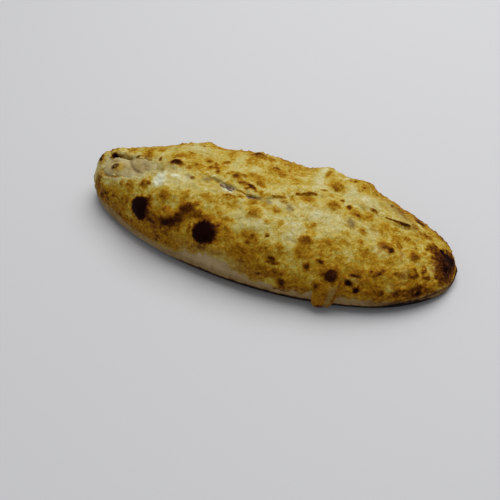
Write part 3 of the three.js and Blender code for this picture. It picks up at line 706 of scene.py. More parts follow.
@dataclass(frozen=True)
class OpenPlace:
    """An opening in the cheese, seen from above: centre, half sizes, turn, and how ragged its edge is."""

    x: float
    y: float
    half: Pair
    turn: float
    ragged: float

    def share(self, points: Array, grain: Array) -> Array:
        """Below 1 inside the opening.

        Args:
            points: Places on the bread.
            grain: Noise that roughens the outline.

        Returns:
            Distance from the centre in shares of the outline.
        """
        dx, dy = points[:, 0] - self.x, points[:, 1] - self.y
        c, s = math.cos(self.turn), math.sin(self.turn)
        along, across = (dx * c + dy * s) / self.half[0], (dy * c - dx * s) / self.half[1]
        return np.hypot(along, across) + self.ragged * grain


@dataclass
class Bread:
    """Form, seam and relief together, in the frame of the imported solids."""

    form: BreadForm = BreadForm()
    seam: Seam = Seam()
    bare_inset: float = 0.6
    cheese_thickness: float = 1.8
    gap: float = 0.4
    bubble_roundness: float = 0.75
    trough: Pair = (-40, 27)
    trough_depth: float = 5.0
    trough_ease: float = 7.0
    front_edge: tuple[Pair, ...] = (
        (-58, 9.5), (-47, 9.5), (-38, 14), (-22, 18), (-11, 18), (-6, 14.6), (7, 14.6), (12, 12),
        (22, 10.4), (27, 8), (31, 8.4), (35, 11), (44, 11.4), (62, 12.4), (71, 10.6), (78, 9),
    )
    rear_edge: float = 14.0
    full_edge_top: float = 30.0
    least_edge: float = 0.06
    edge_grain: tuple[Cloud, ...] = (Cloud(2.2, 9, 61), Cloud(1.8, 3.2, 62, 2))
    front_lane: float = 6.0
    rear_lane: float = 31.0
    full_spread: float = 32.0
    opening_grain: tuple[Cloud, ...] = (Cloud(1, 6, 23), Cloud(0.5, 2.5, 24))
    bare_centre: Pair = (-93.5, -2.8)
    bare_half: Pair = (17.6, 7.8)
    bare_turn: float = -0.06
    bare_ragged: float = 0.2
    gap_ragged: float = 0.7

    def __post_init__(self) -> None:
        """Finds how far the solids lie from the form's own axis, and places openings, bubbles and folds."""
        front = self.form.section(np.linspace(0.3, 0.8, 2001)).front.max()
        low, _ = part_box("dough")
        self.shift = low.y / MM + front - self.bare_inset
        x, y = self.bare_centre
        self.bare_place = OpenPlace(x, y - self.shift, self.bare_half, self.bare_turn, self.bare_ragged)
        self.gaps = tuple(
            OpenPlace(x, y - self.shift, (length, width), self.turn_at(x, length), self.gap_ragged)
            for x, y, length, width in SEAM_GAPS
        )
        self.bubbles = [(self.on_top(x, y), radius, rise) for x, y, radius, rise in BUBBLES]
        self.creases = [
            (np.array([self.on_top(x, y - self.shift) for x, y in places]), depth, width)
            for places, depth, width in CREASES
        ]

    def turn_at(self, x: float, reach: float) -> float:
        """Direction of the seam over a stretch either side of x."""
        return math.atan2(float(self.seam.y(x + reach) - self.seam.y(x - reach)), 2 * reach)

    def on_top(self, x: float, y: float) -> Array:
        """Point of the form at a place seen from above."""
        u = self.form.station(np.array([x]))
        return self.form.point(u, self.form.angle_at(u, np.array([y])))[0]

    def anchor(self, face: Face, x: float, second: float) -> tuple[Array, Array]:
        """Where a mark is centred.

        Args:
            face: How the place is named.
            x: Place along the bread.
            second: Place across it in the solids' frame, or height on the front.

        Returns:
            The point of the form and its outward direction.
        """
        u = self.form.station(np.array([x]))
        if face is Face.TOP:
            angle = self.form.angle_at(u, np.array([second - self.shift]))
        else:
            angle = math.pi - self.form.angle_up(u, np.array([second]))
        return self.form.point(u, angle)[0], self.form.normal(u, angle)[0]

    def relief(self, u: Array, base: Array, offset: Array) -> Array:
        """Rise of the face over the plain form: seam, lumps and bubbles.

        Args:
            u: Stations.
            base: Points of the form.
            offset: Distances across the seam.

        Returns:
            The rise at each point.
        """
        rise = self.seam.step(base[:, 0], offset)
        for x, y, reach, height in LUMPS:
            rise = rise + height * swell(np.hypot(base[:, 0] - x, base[:, 1] - y), 0, reach)
        for centre, radius, height in self.bubbles:
            distance = np.linalg.norm(base - centre, axis=1)
            rise = rise + height * swell(distance, 0, self.bubble_roundness * radius)
        return self.form.fade(u) * rise

    def crease_drop(self, base: Array) -> Array:
        """Depth of the folds pressed into the bare end, at each point."""
        return sum(depth * swell(line_distance(base, line), 0, width) for line, depth, width in self.creases)

    def trough_share(self, x: Array) -> Array:
        """1 where the filling lies under the seam, 0 beyond."""
        start, end = self.trough
        return smooth(start - self.trough_ease, start, x) * (1 - smooth(end, end + self.trough_ease, x))

    def opening_outline(self, base: Array) -> Array:
        """Noise that roughens the outlines of the openings."""
        return summed(base, *self.opening_grain)

    def _edge(self, u: Array, height: Array, lane: float) -> Array:
        """Section angle of a ragged edge.

        Args:
            u: Stations.
            height: About how high it lies at each.
            lane: Where its raggedness is read from the noise.

        Returns:
            Its angle up from the rim at each station.
        """
        s = self.form.section(u)
        ragged = summed(np.stack([s.x, 0 * s.x + lane, 0 * s.x], axis=-1), *self.edge_grain)
        low = np.minimum(1, s.top / self.full_edge_top)
        return self.form.angle_up(u, np.maximum(mixed(s.rim, s.top, self.least_edge), low * (height + ragged)))

    def edges(self, u: Array) -> tuple[Array, Array]:
        """Finds where the cheese ends.

        Args:
            u: Stations.

        Returns:
            Section angle of its edge low on the front, and on the rear.
        """
        x = self.form.section(u).x
        front = self._edge(u, table(x, self.front_edge), self.front_lane)
        return math.pi - front, self._edge(u, np.full_like(x, self.rear_edge), self.rear_lane)

    def offsets(self, u: Array, base: Array) -> Array:
        """Distance of each point across the seam, positive on the flap."""
        spread = np.minimum(1, self.form.section(u).rear / self.full_spread)
        return base[:, 1] / spread - self.seam.y(base[:, 0])


@dataclass
class Browning:
    """How far each place of a baked surface is browned, with painted shade and painted highlights among its
    marks, and where grey shows through.
    """

    bread: Bread
    marks_grain: Cloud = Cloud(1, 2.6, 11)
    grey_grain: Cloud = Cloud(1, 2.2, 12)
    creamy_grain: Cloud = Cloud(1, 3, 13)
    grey_softness: float = 0.7
    creamy_softness: float = 0.8
    depth: Pair = (16, 10)
    ragged: Pair = (0.1, 0.35)

    def _inside(self, away: Array, grain: Array, softness: float) -> Array:
        """1 inside a ragged outline that lies where away is 1, 0 outside."""
        away = away + (self.ragged[0] + self.ragged[1] * softness) * grain
        return smooth(1 + softness, 1 - softness, away)

    def spot(self, base: Array, grain: Array, face: Face, place: tuple[float, ...], softness: float) -> Array:
        """Share of one oval mark at each point.

        Args:
            base: Points of the form.
            grain: Noise that roughens its outline.
            face: How its place is named.
            place: Its two positions, length, width and perhaps its turn.
            softness: Width of its edge as a share of its size.

        Returns:
            1 inside the mark, 0 outside.
        """
        x, second, length, width, *turned = place
        centre, normal = self.bread.anchor(face, x, second)
        angle = math.radians(sum(turned))
        across = np.cross(normal, [1.0, 0.0, 0.0])
        across /= np.linalg.norm(across)
        along = np.cross(across, normal) * math.cos(angle) + across * math.sin(angle)
        beside = np.cross(normal, along)
        away = base - centre
        oval = np.hypot(away @ along / (length / 2), away @ beside / (width / 2))
        return smooth(*self.depth, np.abs(away @ normal)) * self._inside(oval, grain, softness)

    def tone(self, base: Array, start: Array) -> Array:
        """Lays all the marks over a starting tone.

        Args:
            base: Points of the form.
            start: Tone before the marks.

        Returns:
            Tone at each point.
        """
        grain = self.marks_grain.at(base)
        tone = start.copy()
        for group in BROWNING_SHADE_AND_HIGHLIGHT_MARKS:
            for place in group.places:
                share = self.spot(base, grain, group.face, place, group.softness)
                tone = mixed(tone, group.tone.value, share)
        for stroke in BROWNING_AND_SHADE_STROKES:
            line = np.array([self.bread.anchor(Face.TOP, x, y)[0] for x, y in stroke.places])
            share = self._inside(line_distance(base, line) / (stroke.width / 2), grain, stroke.softness)
            tone = mixed(tone, stroke.tone, share * (tone < stroke.tone))
        return tone

    def grey(self, base: Array) -> Array:
        """Finds where the lilac grey shows through.

        Args:
            base: Points of the form.

        Returns:
            Its share at each point.
        """
        grain = self.grey_grain.at(base)
        spots = [share * self.spot(base, grain, Face.TOP, place, self.grey_softness) for share, place in LILAC]
        return np.max(spots, axis=0)

    def creamy(self, base: Array) -> Array:
        """Finds the thin, creamy cheese.

        Args:
            base: Points of the form.

        Returns:
            Its share at each point.
        """
        grain = self.creamy_grain.at(base)
        spots = [self.spot(base, grain, Face.TOP, place, self.creamy_softness) for place in THIN]
        return np.max(spots, axis=0)


# ---- Meshes ----


class Skin:
    """A bmesh whose corners are numbered, so that numpy moves and tones find them again."""

    def __init__(self, bm: bmesh.types.BMesh) -> None:
        """Numbers the corners.

        Args:
            bm: The mesh.
        """
        self.bm = bm
        self.number = bm.verts.layers.int.new("number")
        self.start = self.renumbered()

    def renumbered(self) -> Array:
        """Numbers the corners in order.

        Returns:
            Their places.
        """
        for k, corner in enumerate(self.bm.verts):
            corner[self.number] = k
        return np.array([corner.co[:] for corner in self.bm.verts])

    def drop(self, lost: NDArray[np.bool_]) -> None:
        """Deletes the faces all of whose corners are lost, and any that leave a corner touching another.

        Args:
            lost: Whether each numbered corner is lost.
        """
        faces = [face for face in self.bm.faces if all(lost[corner[self.number]] for corner in face.verts)]
        bmesh.ops.delete(self.bm, geom=faces, context="FACES")
        while True:
            pinched = {
                face
                for corner in self.bm.verts
                if sum(edge.is_boundary for edge in corner.link_edges) > 2
                for face in corner.link_faces
            }
            if not pinched:
                return
            bmesh.ops.delete(self.bm, geom=list(pinched), context="FACES")

    def thicken(self, outer: Array, inner: Array) -> None:
        """Makes the sheet a closed slab.

        Args:
            outer: Place of each numbered corner on its outer side.
            inner: Place of each on its inner side.
        """
        made = bmesh.ops.extrude_face_region(self.bm, geom=self.bm.faces[:], use_keep_orig=True)
        behind = {part for part in made["geom"] if isinstance(part, bmesh.types.BMVert)}
        for corner in self.bm.verts:
            corner.co = (inner if corner in behind else outer)[corner[self.number]]

    def place(self, points: Array) -> None:
        """Puts each numbered corner at its point."""
        for corner in self.bm.verts:
            corner.co = points[corner[self.number]]

    def piece(self, name: str, tones: dict[str, Array], shift: float) -> bpy.types.Object:
        """Writes the mesh in metres as a shaded piece.

        Args:
            name: Name of the piece.
            tones: Attributes by name, a value for each numbered corner.
            shift: How far it moves across, in millimetres.

        Returns:
            The finished object, at the origin.
        """
        bmesh.ops.translate(self.bm, verts=self.bm.verts, vec=(0, shift, 0))
        bmesh.ops.scale(self.bm, verts=self.bm.verts, vec=(MM, MM, MM))
        bmesh.ops.recalc_face_normals(self.bm, faces=self.bm.faces)
        order = np.array([corner[self.number] for corner in self.bm.verts])
        self.bm.verts.layers.int.remove(self.number)
        mesh = bpy.data.meshes.new(name)
        self.bm.to_mesh(mesh)
        self.bm.free()
        for layer, values in tones.items():
            attribute = mesh.attributes.new(layer, "FLOAT", "POINT")
            attribute.data.foreach_set("value", np.asarray(values, dtype=np.float32)[order])
        mesh.shade_smooth()
        return linked(name, mesh)


def grid_skin(along: int, across: int) -> tuple[Skin, NDArray[np.int_], NDArray[np.int_]]:
    """A flat grid with the number of each corner's station and row.

    Args:
        along: Faces along the bread.
        across: Faces across it.

    Returns:
        The skin, and the station and row of each corner.
    """
    bm = bmesh.new()
    bmesh.ops.create_grid(bm, x_segments=along, y_segments=across, size=0.5)
    skin = Skin(bm)
    station = np.rint((skin.start[:, 0] + 0.5) * along).astype(int)
    row = np.rint((skin.start[:, 1] + 0.5) * across).astype(int)
    return skin, station, row


def ball_skin(rings: int, sides: int) -> tuple[Skin, NDArray[np.int_], NDArray[np.int_]]:
    """A ball's grid, closed at both poles.

    Args:
        rings: Steps from pole to pole.
        sides: Corners round it.

    Returns:
        The skin, and the ring and side of each corner.
    """
    bm = bmesh.new()
    bmesh.ops.create_uvsphere(bm, u_segments=sides, v_segments=rings, radius=1.0)
    skin = Skin(bm)
    x, y, z = skin.start.T
    ring = np.rint(np.arccos(np.clip(-z, -1, 1)) / math.pi * rings).astype(int)
    side = np.mod(np.rint(np.arctan2(y, x) / (2 * math.pi) * sides), sides).astype(int)
    return skin, ring, side


def spaced_stations(count: int, first: float, last: float) -> Array:
    """Spaces stations closer together towards the two ends.

    Args:
        count: Steps between them.
        first: The first station.
        last: The last one.

    Returns:
        The stations.
    """
    evenness = 0.55
    share = np.linspace(0, 1, count + 1)
    return first + (last - first) * mixed((1 - np.cos(math.pi * share)) / 2, share, evenness)


@dataclass(frozen=True)
class Rows:
    """How the rows of a mesh lie round a section: closer beside the seam and wider where unseen."""

    count: int
    unseen_share: float
    samples: int = 700
    seam_extra: float = 1.3
    seam_reach: float = 3.5
    rear_from: Pair = (22, 34)
    under_sine: float = -0.5

    def angles(self, bread: Bread, u: float, span: Pair) -> tuple[Array, Array]:
        """Spaces the rows of one section by length.

        Args:
            bread: The bread.
            u: The station.
            span: First and last angle.

        Returns:
            The angle of each row, and its distance from the first one.
        """
        angle = np.linspace(*span, self.samples)
        points = bread.form.point(np.full_like(angle, u), angle)
        step = np.linalg.norm(np.diff(points, axis=0), axis=1)
        middle = (points[1:] + points[:-1]) / 2
        offset = middle[:, 1] - float(bread.seam.y(middle[0, 0]))
        under = np.sin((angle[1:] + angle[:-1]) / 2) < self.under_sine
        weight = 1 + self.seam_extra * swell(offset, 0, self.seam_reach)
        for unseen in (smooth(*self.rear_from, middle[:, 1]), under):
            weight = weight * mixed(1, self.unseen_share, unseen)
        total, length = (np.concatenate([[0], np.cumsum(part)]) for part in (step * weight, step))
        level = np.linspace(0, total[-1], self.count + 1)
        return np.interp(level, total, angle), np.interp(level, total, length)


@dataclass
class CheeseCrust:
    """Melted cheese over the top and the sides, torn at its edges and open over the bare end and the seam."""

    bread: Bread
    browning: Browning
    stations: int = 330
    rows: Rows = Rows(146, 0.62)
    first: float = 0.0045
    last: float = 0.9955
    # Edges and openings
    edge_reach: float = 3.6
    edge_drop: float = 0.85
    edge_grain: tuple[Cloud, ...] = (Cloud(1.1, 8, 21), Cloud(0.6, 3.2, 22))
    bare_drop: Ease = Ease(1.3, 0.95, 1.7)
    bare_thin: Ease = Ease(1.5, 1.0, 0.6)
    bare_cut: float = 0.86
    gap_drop: Ease = Ease(1.35, 0.7, 1.5)
    gap_cut: float = 0.72
    least_thickness: float = 0.25
    tatters: Cloud = Cloud(0.9, 4.5, 28)
    # Fine relief
    bumps: Cloud = Cloud(0.7, 6.5, 1)
    beads: Dots = Dots(4.2, 1)
    bead_height: float = 0.95
    bead_size: Ease = Ease(0.6, 0.05)
    bead_places: Cloud = Cloud(1, 13, 2)
    beaded: Ease = Ease(-0.1, 0.4)
    rear_beads: Ease = Ease(18, 28, 0.6)
    wrinkles: Cloud = Cloud(1, 5.0, 3, 3, (1.6, 1, 1))
    wrinkle_height: float = 0.55
    crumbs: Cloud = Cloud(0.42, 1.8, 4, 2)
    toasted_rise: float = 0.3
    # Browning under the marks, with the tones of the sides by height
    top_tone: float = 0.1
    front_facing: Ease = Ease(0.3, 0.75)
    rear_facing: Ease = Ease(0.12, 0.6)
    right_tone: Ease = Ease(76, 104, 0.07)
    right_corner: tuple[Ease, Ease] = (Ease(68, 90, 0.09), Ease(-10, -20))
    front_tones: tuple[Pair, ...] = ((6, 0.6), (12, 0.54), (20, 0.46), (27, 0.33), (34, 0.18), (46, 0.1))
    rear_tones: tuple[Pair, ...] = ((6, 0.58), (14, 0.52), (24, 0.42), (34, 0.3), (46, 0.22))
    blots: Cloud = Cloud(1, 11, 5)
    blot_tone: float = 0.1
    patches: Cloud = Cloud(1, 5.5, 6)
    patch_tone: Ease = Ease(0.1, 0.4, 0.17)
    patched_blots: Ease = Ease(-0.35, 0.3)
    golden: tuple[Ease, Ease] = (Ease(0.0, 0.3), Ease(1.1, 0.8))
    toasted: Ease = Ease(0.25, 0.6)
    burnt: Ease = Ease(1.1, 1.25)
    freckles: Dots = Dots(6.0, 8)
    freckle_tone: Ease = Ease(0.26, 0.1, 0.3)
    freckle_places: Cloud = Cloud(1, 14, 9)
    freckled: Ease = Ease(-0.1, 0.3)
    mottle: tuple[Cloud, ...] = (Cloud(0.12, 2.6, 7), Cloud(0.14, 1.3, 10, 2))
    mottle_share: Pair = (0.6, 0.9)
    # Where it is dark at the lip, thin or grey
    lip_place: Pair = (0.6, 1.3)
    lip_tone: Ease = Ease(-0.2, 0.5, 0.22)
    lip_places: Cloud = Cloud(1, 5, 25)
    thin_bare: Ease = Ease(1.8, 1.05)
    thin_edge: Ease = Ease(3.6, 0.6)
    pale_share: float = 0.9
    creamy_share: float = 0.6
    torn_grain: tuple[Cloud, ...] = (Cloud(2.2, 9, 26), Cloud(1.2, 3, 27))
    pale_low: tuple[float, ...] = (-14, 20, 40, 9, -6)
    faded_edge: Ease = Ease(5.5, 0.3)
    faded_x: tuple[Ease, Ease] = (Ease(-72, -54), Ease(24, 14))
    faded_tone: float = 0.22
    faded_share: float = 0.6
    grey_gap: Ease = Ease(1.25, 0.9, 0.25)
    grey_tones: Ease = Ease(0.9, 0.5)

    def fine_relief(self, base: Array, calm: Array) -> Array:
        """Fine bumps, flakes and wrinkles of the set cheese.

        Args:
            base: Points of the form.
            calm: 1 where the face is smooth, as on a burnt blister.

        Returns:
            The rise at each point.
        """
        beads = self.bead_size.at(self.beads.away(base)) - 0.3
        beads = beads * self.beaded.at(self.bead_places.at(base)) * (1 + self.rear_beads.at(base[:, 1]))
        wrinkles = self.wrinkle_height * (0.25 - np.abs(self.wrinkles.at(base)))
        rise = self.bumps.at(base) + self.bead_height * beads + wrinkles + self.crumbs.at(base)
        return (rise - 0.25) * (1 - 0.8 * calm)

    def start_tone(self, place: Array, normal: Array) -> Array:
        """Browning before the marks: pale on top, golden low on the sides, mottled all over.

        Args:
            place: Points of the form.
            normal: Their outward directions.

        Returns:
            Tone at each point.
        """
        x, y, z = place.T
        front, rear = self.front_facing.at(-normal[:, 1]), self.rear_facing.at(normal[:, 1])
        tone = mixed(self.top_tone, table(z, self.front_tones), front)
        tone = mixed(tone, table(z, self.rear_tones), rear)
        tone = tone + self.right_tone.at(x) * (1 - 0.6 * front)
        tone = tone + self.right_corner[0].at(x) * self.right_corner[1].at(y)
        blots, patches = self.blots.at(place), self.patches.at(place)
        return tone + self.blot_tone * blots + self.patch_tone.at(patches) * self.patched_blots.at(blots)

    def mottled(self, place: Array, tone: Array) -> Array:
        """Adds fine mottling and small freckles over the marks, strongest where the cheese is golden.

        Args:
            place: Points of the form.
            tone: Tone at each.

        Returns:
            The mottled tone.
        """
        golden = within(tone, *self.golden)
        freckles = self.freckle_tone.at(self.freckles.away(place))
        freckles = freckles * self.freckled.at(self.freckle_places.at(place))
        least, more = self.mottle_share
        return tone + summed(place, *self.mottle) * (least + more * golden) + freckles * golden

    def tones(
        self, base: Array, tone: Array, from_edge: Array, bare: Array, gap: Array
    ) -> dict[str, Array]:
        """Colour attributes of the crust.

        Args:
            base: Points of the form.
            tone: Browning at each.
            from_edge: Distance from the torn edge.
            bare: Share of the way from the bare end's centre to its outline.
            gap: The same for the openings of the seam.

        Returns:
            Attributes by name.
        """
        bread, seam, x = self.bread, self.bread.seam, base[:, 0]
        calm = self.burnt.at(tone)
        offset = bread.offsets(bread.form.station(x), base)
        lip = swell(offset, *self.lip_place) * seam.strength(x) * seam.openness(x)
        tone = tone + lip * self.lip_tone.at(self.lip_places.at(base)) * (1 - calm)
        torn = from_edge + summed(base, *self.torn_grain)
        pale = self.browning.spot(base, bread.opening_outline(base), Face.FRONT, self.pale_low, 0.9)
        faded = self.faded_edge.at(torn) * within(x, *self.faded_x) * (1 - calm)
        creamy = self.creamy_share * self.browning.creamy(base)
        ways = [self.thin_bare.at(bare), self.thin_edge.at(torn), self.pale_share * pale, creamy, faded]
        tone = mixed(tone, self.faded_tone, self.faded_share * faded)
        grey = np.maximum(self.browning.grey(base), self.grey_gap.at(gap)) * self.grey_tones.at(tone)
        return {"tone": tone, "thin": np.max(ways, axis=0) * (1 - calm), "grey": grey}

    def build(self) -> bpy.types.Object:
        """Models the crust.

        Returns:
            The piece.
        """
        bread, form, seam = self.bread, self.bread.form, self.bread.seam
        skin, station, row = grid_skin(self.stations, self.rows.count)
        u_all = spaced_stations(self.stations, self.first, self.last)
        spans = zip(u_all, *bread.edges(u_all))
        tables = np.array([self.rows.angles(bread, u, (front, rear)) for u, front, rear in spans])
        u, angle, length = u_all[station], tables[station, 0, row], tables[station, 1, row]
        base, normal = form.point(u, angle), form.normal(u, angle)
        offset, ends = bread.offsets(u, base), form.fade(u)
        from_edge = np.minimum(length, tables[station, 1, -1] - length)
        from_end = np.minimum(u - self.first, self.last - u) * form.length
        torn = 1 - smooth(0, self.edge_reach, from_edge + np.minimum(summed(base, *self.edge_grain), from_edge))
        outline = bread.opening_outline(base)
        bare = bread.bare_place.share(base, outline)
        gap = np.min([place.share(base, outline) for place in bread.gaps], axis=0)

        tone = self.mottled(base, self.browning.tone(base, self.start_tone(base, normal)))
        calm = self.burnt.at(tone)
        fine = self.fine_relief(base, calm) * ends * smooth(0, 3, from_end + 1) * (1 - 0.75 * torn)
        fine = fine + self.toasted_rise * self.toasted.at(tone) * (1 - calm) * ends
        rise = bread.relief(u, base, offset) + fine - self.edge_drop * torn * ends
        rise = rise - self.bare_drop.at(bare) - self.gap_drop.at(gap)
        outer = base + normal * rise[:, None]
        lip = swell(offset, seam.nose + 0.2, 1.1) * seam.strength(base[:, 0]) * seam.openness(base[:, 0])
        outer[:, 1] -= seam.overhang * lip * (0.7 + self.tatters.at(base))
        thickness = bread.cheese_thickness * (1 - 0.6 * torn) * (1 - self.bare_thin.at(bare))
        thickness = np.maximum(self.least_thickness, thickness * mixed(0.4, 1, ends))
        skin.drop((bare < self.bare_cut) | (gap < self.gap_cut))
        skin.thicken(outer, base + normal * (rise - thickness)[:, None])
        return skin.piece("cheese_crust", self.tones(base, tone, from_edge, bare, gap), bread.shift)


@dataclass
class CheeseDrip:
    """Cheese that ran down the front and set: a tongue and a strand with a film between them.

    Its left and right edges are places along the bread and heights, from the top down.
    """

    bread: Bread
    columns: int = 70
    rows: int = 76
    left: tuple[Pair, ...] = ((45.8, 22), (46.8, 18), (47.2, 13), (47.6, 8), (48.2, 3.6))
    right: tuple[Pair, ...] = ((64.0, 23), (63.0, 19), (61.4, 13), (59.6, 9), (57.6, 4.6))
    stand_off: tuple[float, ...] = (-1.2, 0.2, 0.8, 1.4, 1.4)
    film: tuple[Ease, Ease] = (Ease(0.55, 0.68), Ease(0.92, 0.8))
    notch: Ease = Ease(0.35, 1, 0.9)
    sag: Ease = Ease(0.6, 1, 1.3)
    tongue: tuple[Ease, Ease] = (Ease(0.74, 0.56), Ease(-0.02, 0.1))
    strand: Pair = (0.92, 0.06)
    thickness: Triple = (0.45, 1.5, 1.1)
    foot_bulk: Ease = Ease(1.02, 0.86)
    plain_tone: float = 0.46
    toasted_foot: Ease = Ease(0.74, 1, 0.4)
    toasted_across: tuple[Ease, Ease] = (Ease(0.05, 0.3), Ease(0.95, 0.7))
    blister: Triple = (48.4, 19, 1.6)
    grey_down: Ease = Ease(0.1, 0.4, 0.55)
    wave: Cloud = Cloud(1, 5, 31)
    ripple: tuple[Cloud, ...] = (Cloud(0.3, 3, 32), Cloud(0.14, 1.3, 33))
    mottle: Cloud = Cloud(0.16, 3.4, 34)

    def _along(self, places: Sequence[Pair] | Sequence[float], share: Array) -> Array:
        """Reads a path at shares of its length.

        Args:
            places: The path's values, evenly spaced.
            share: Shares of its length.

        Returns:
            The values at each share, one a row.
        """
        levels = np.linspace(0, 1, len(places))
        columns = np.array(places, dtype=float).reshape(len(places), -1).T
        return np.stack([np.interp(share, levels, column) for column in columns], axis=-1)

    def build(self) -> bpy.types.Object:
        """Models the drip.

        Returns:
            The piece.
        """
        form = self.bread.form
        skin, column, row = grid_skin(self.columns, self.rows)
        across, down = column / self.columns, 1 - row / self.rows
        left, right = self._along(self.left, down), self._along(self.right, down)
        x, z = (left + (right - left) * across[:, None]).T
        film, tongue = within(across, *self.film), within(across, *self.tongue)
        z = z + film * self.notch.at(down)
        flat = np.stack([x, z * 0, z], axis=-1)
        wave = self.wave.at(flat)
        x = x + 0.35 * wave
        z = z + self.sag.at(down) * ((2 * across - 1) ** 4 - 0.35) + 0.3 * wave * down
        u = form.station(x)
        rim = form.section(u).rim
        angle = math.pi - form.angle_up(u, np.maximum(z, rim))
        base, normal = form.point(u, angle), form.normal(u, angle)
        strand = swell(across, *self.strand)
        least, tongue_more, strand_more = self.thickness
        bulk = least + tongue_more * tongue + strand_more * strand
        bulk = bulk * self.foot_bulk.at(down) ** 0.5 + 0.12
        off = self._along(self.stand_off, down)[:, 0]
        outer = base + normal * (off + bulk * 0.55 + summed(flat, *self.ripple))[:, None]
        inner = base + normal * (off - bulk * 0.55)[:, None]
        for side in (outer, inner):
            side[:, 2] = np.where(z < rim, z, side[:, 2])
        skin.thicken(outer, inner)
        tone = self.plain_tone + 0.1 * tongue + 0.2 * strand - 0.04 * film + self.mottle.at(flat)
        tone = tone + self.toasted_foot.at(down) * within(across, *self.toasted_across)
        tone = tone + 0.3 * swell(np.hypot(x - self.blister[0], z - self.blister[1]), 0, self.blister[2])
        grey = film * self.grey_down.at(down)
        return skin.piece("cheese_drip", {"tone": tone, "thin": 0.6 * film, "grey": grey}, self.bread.shift)


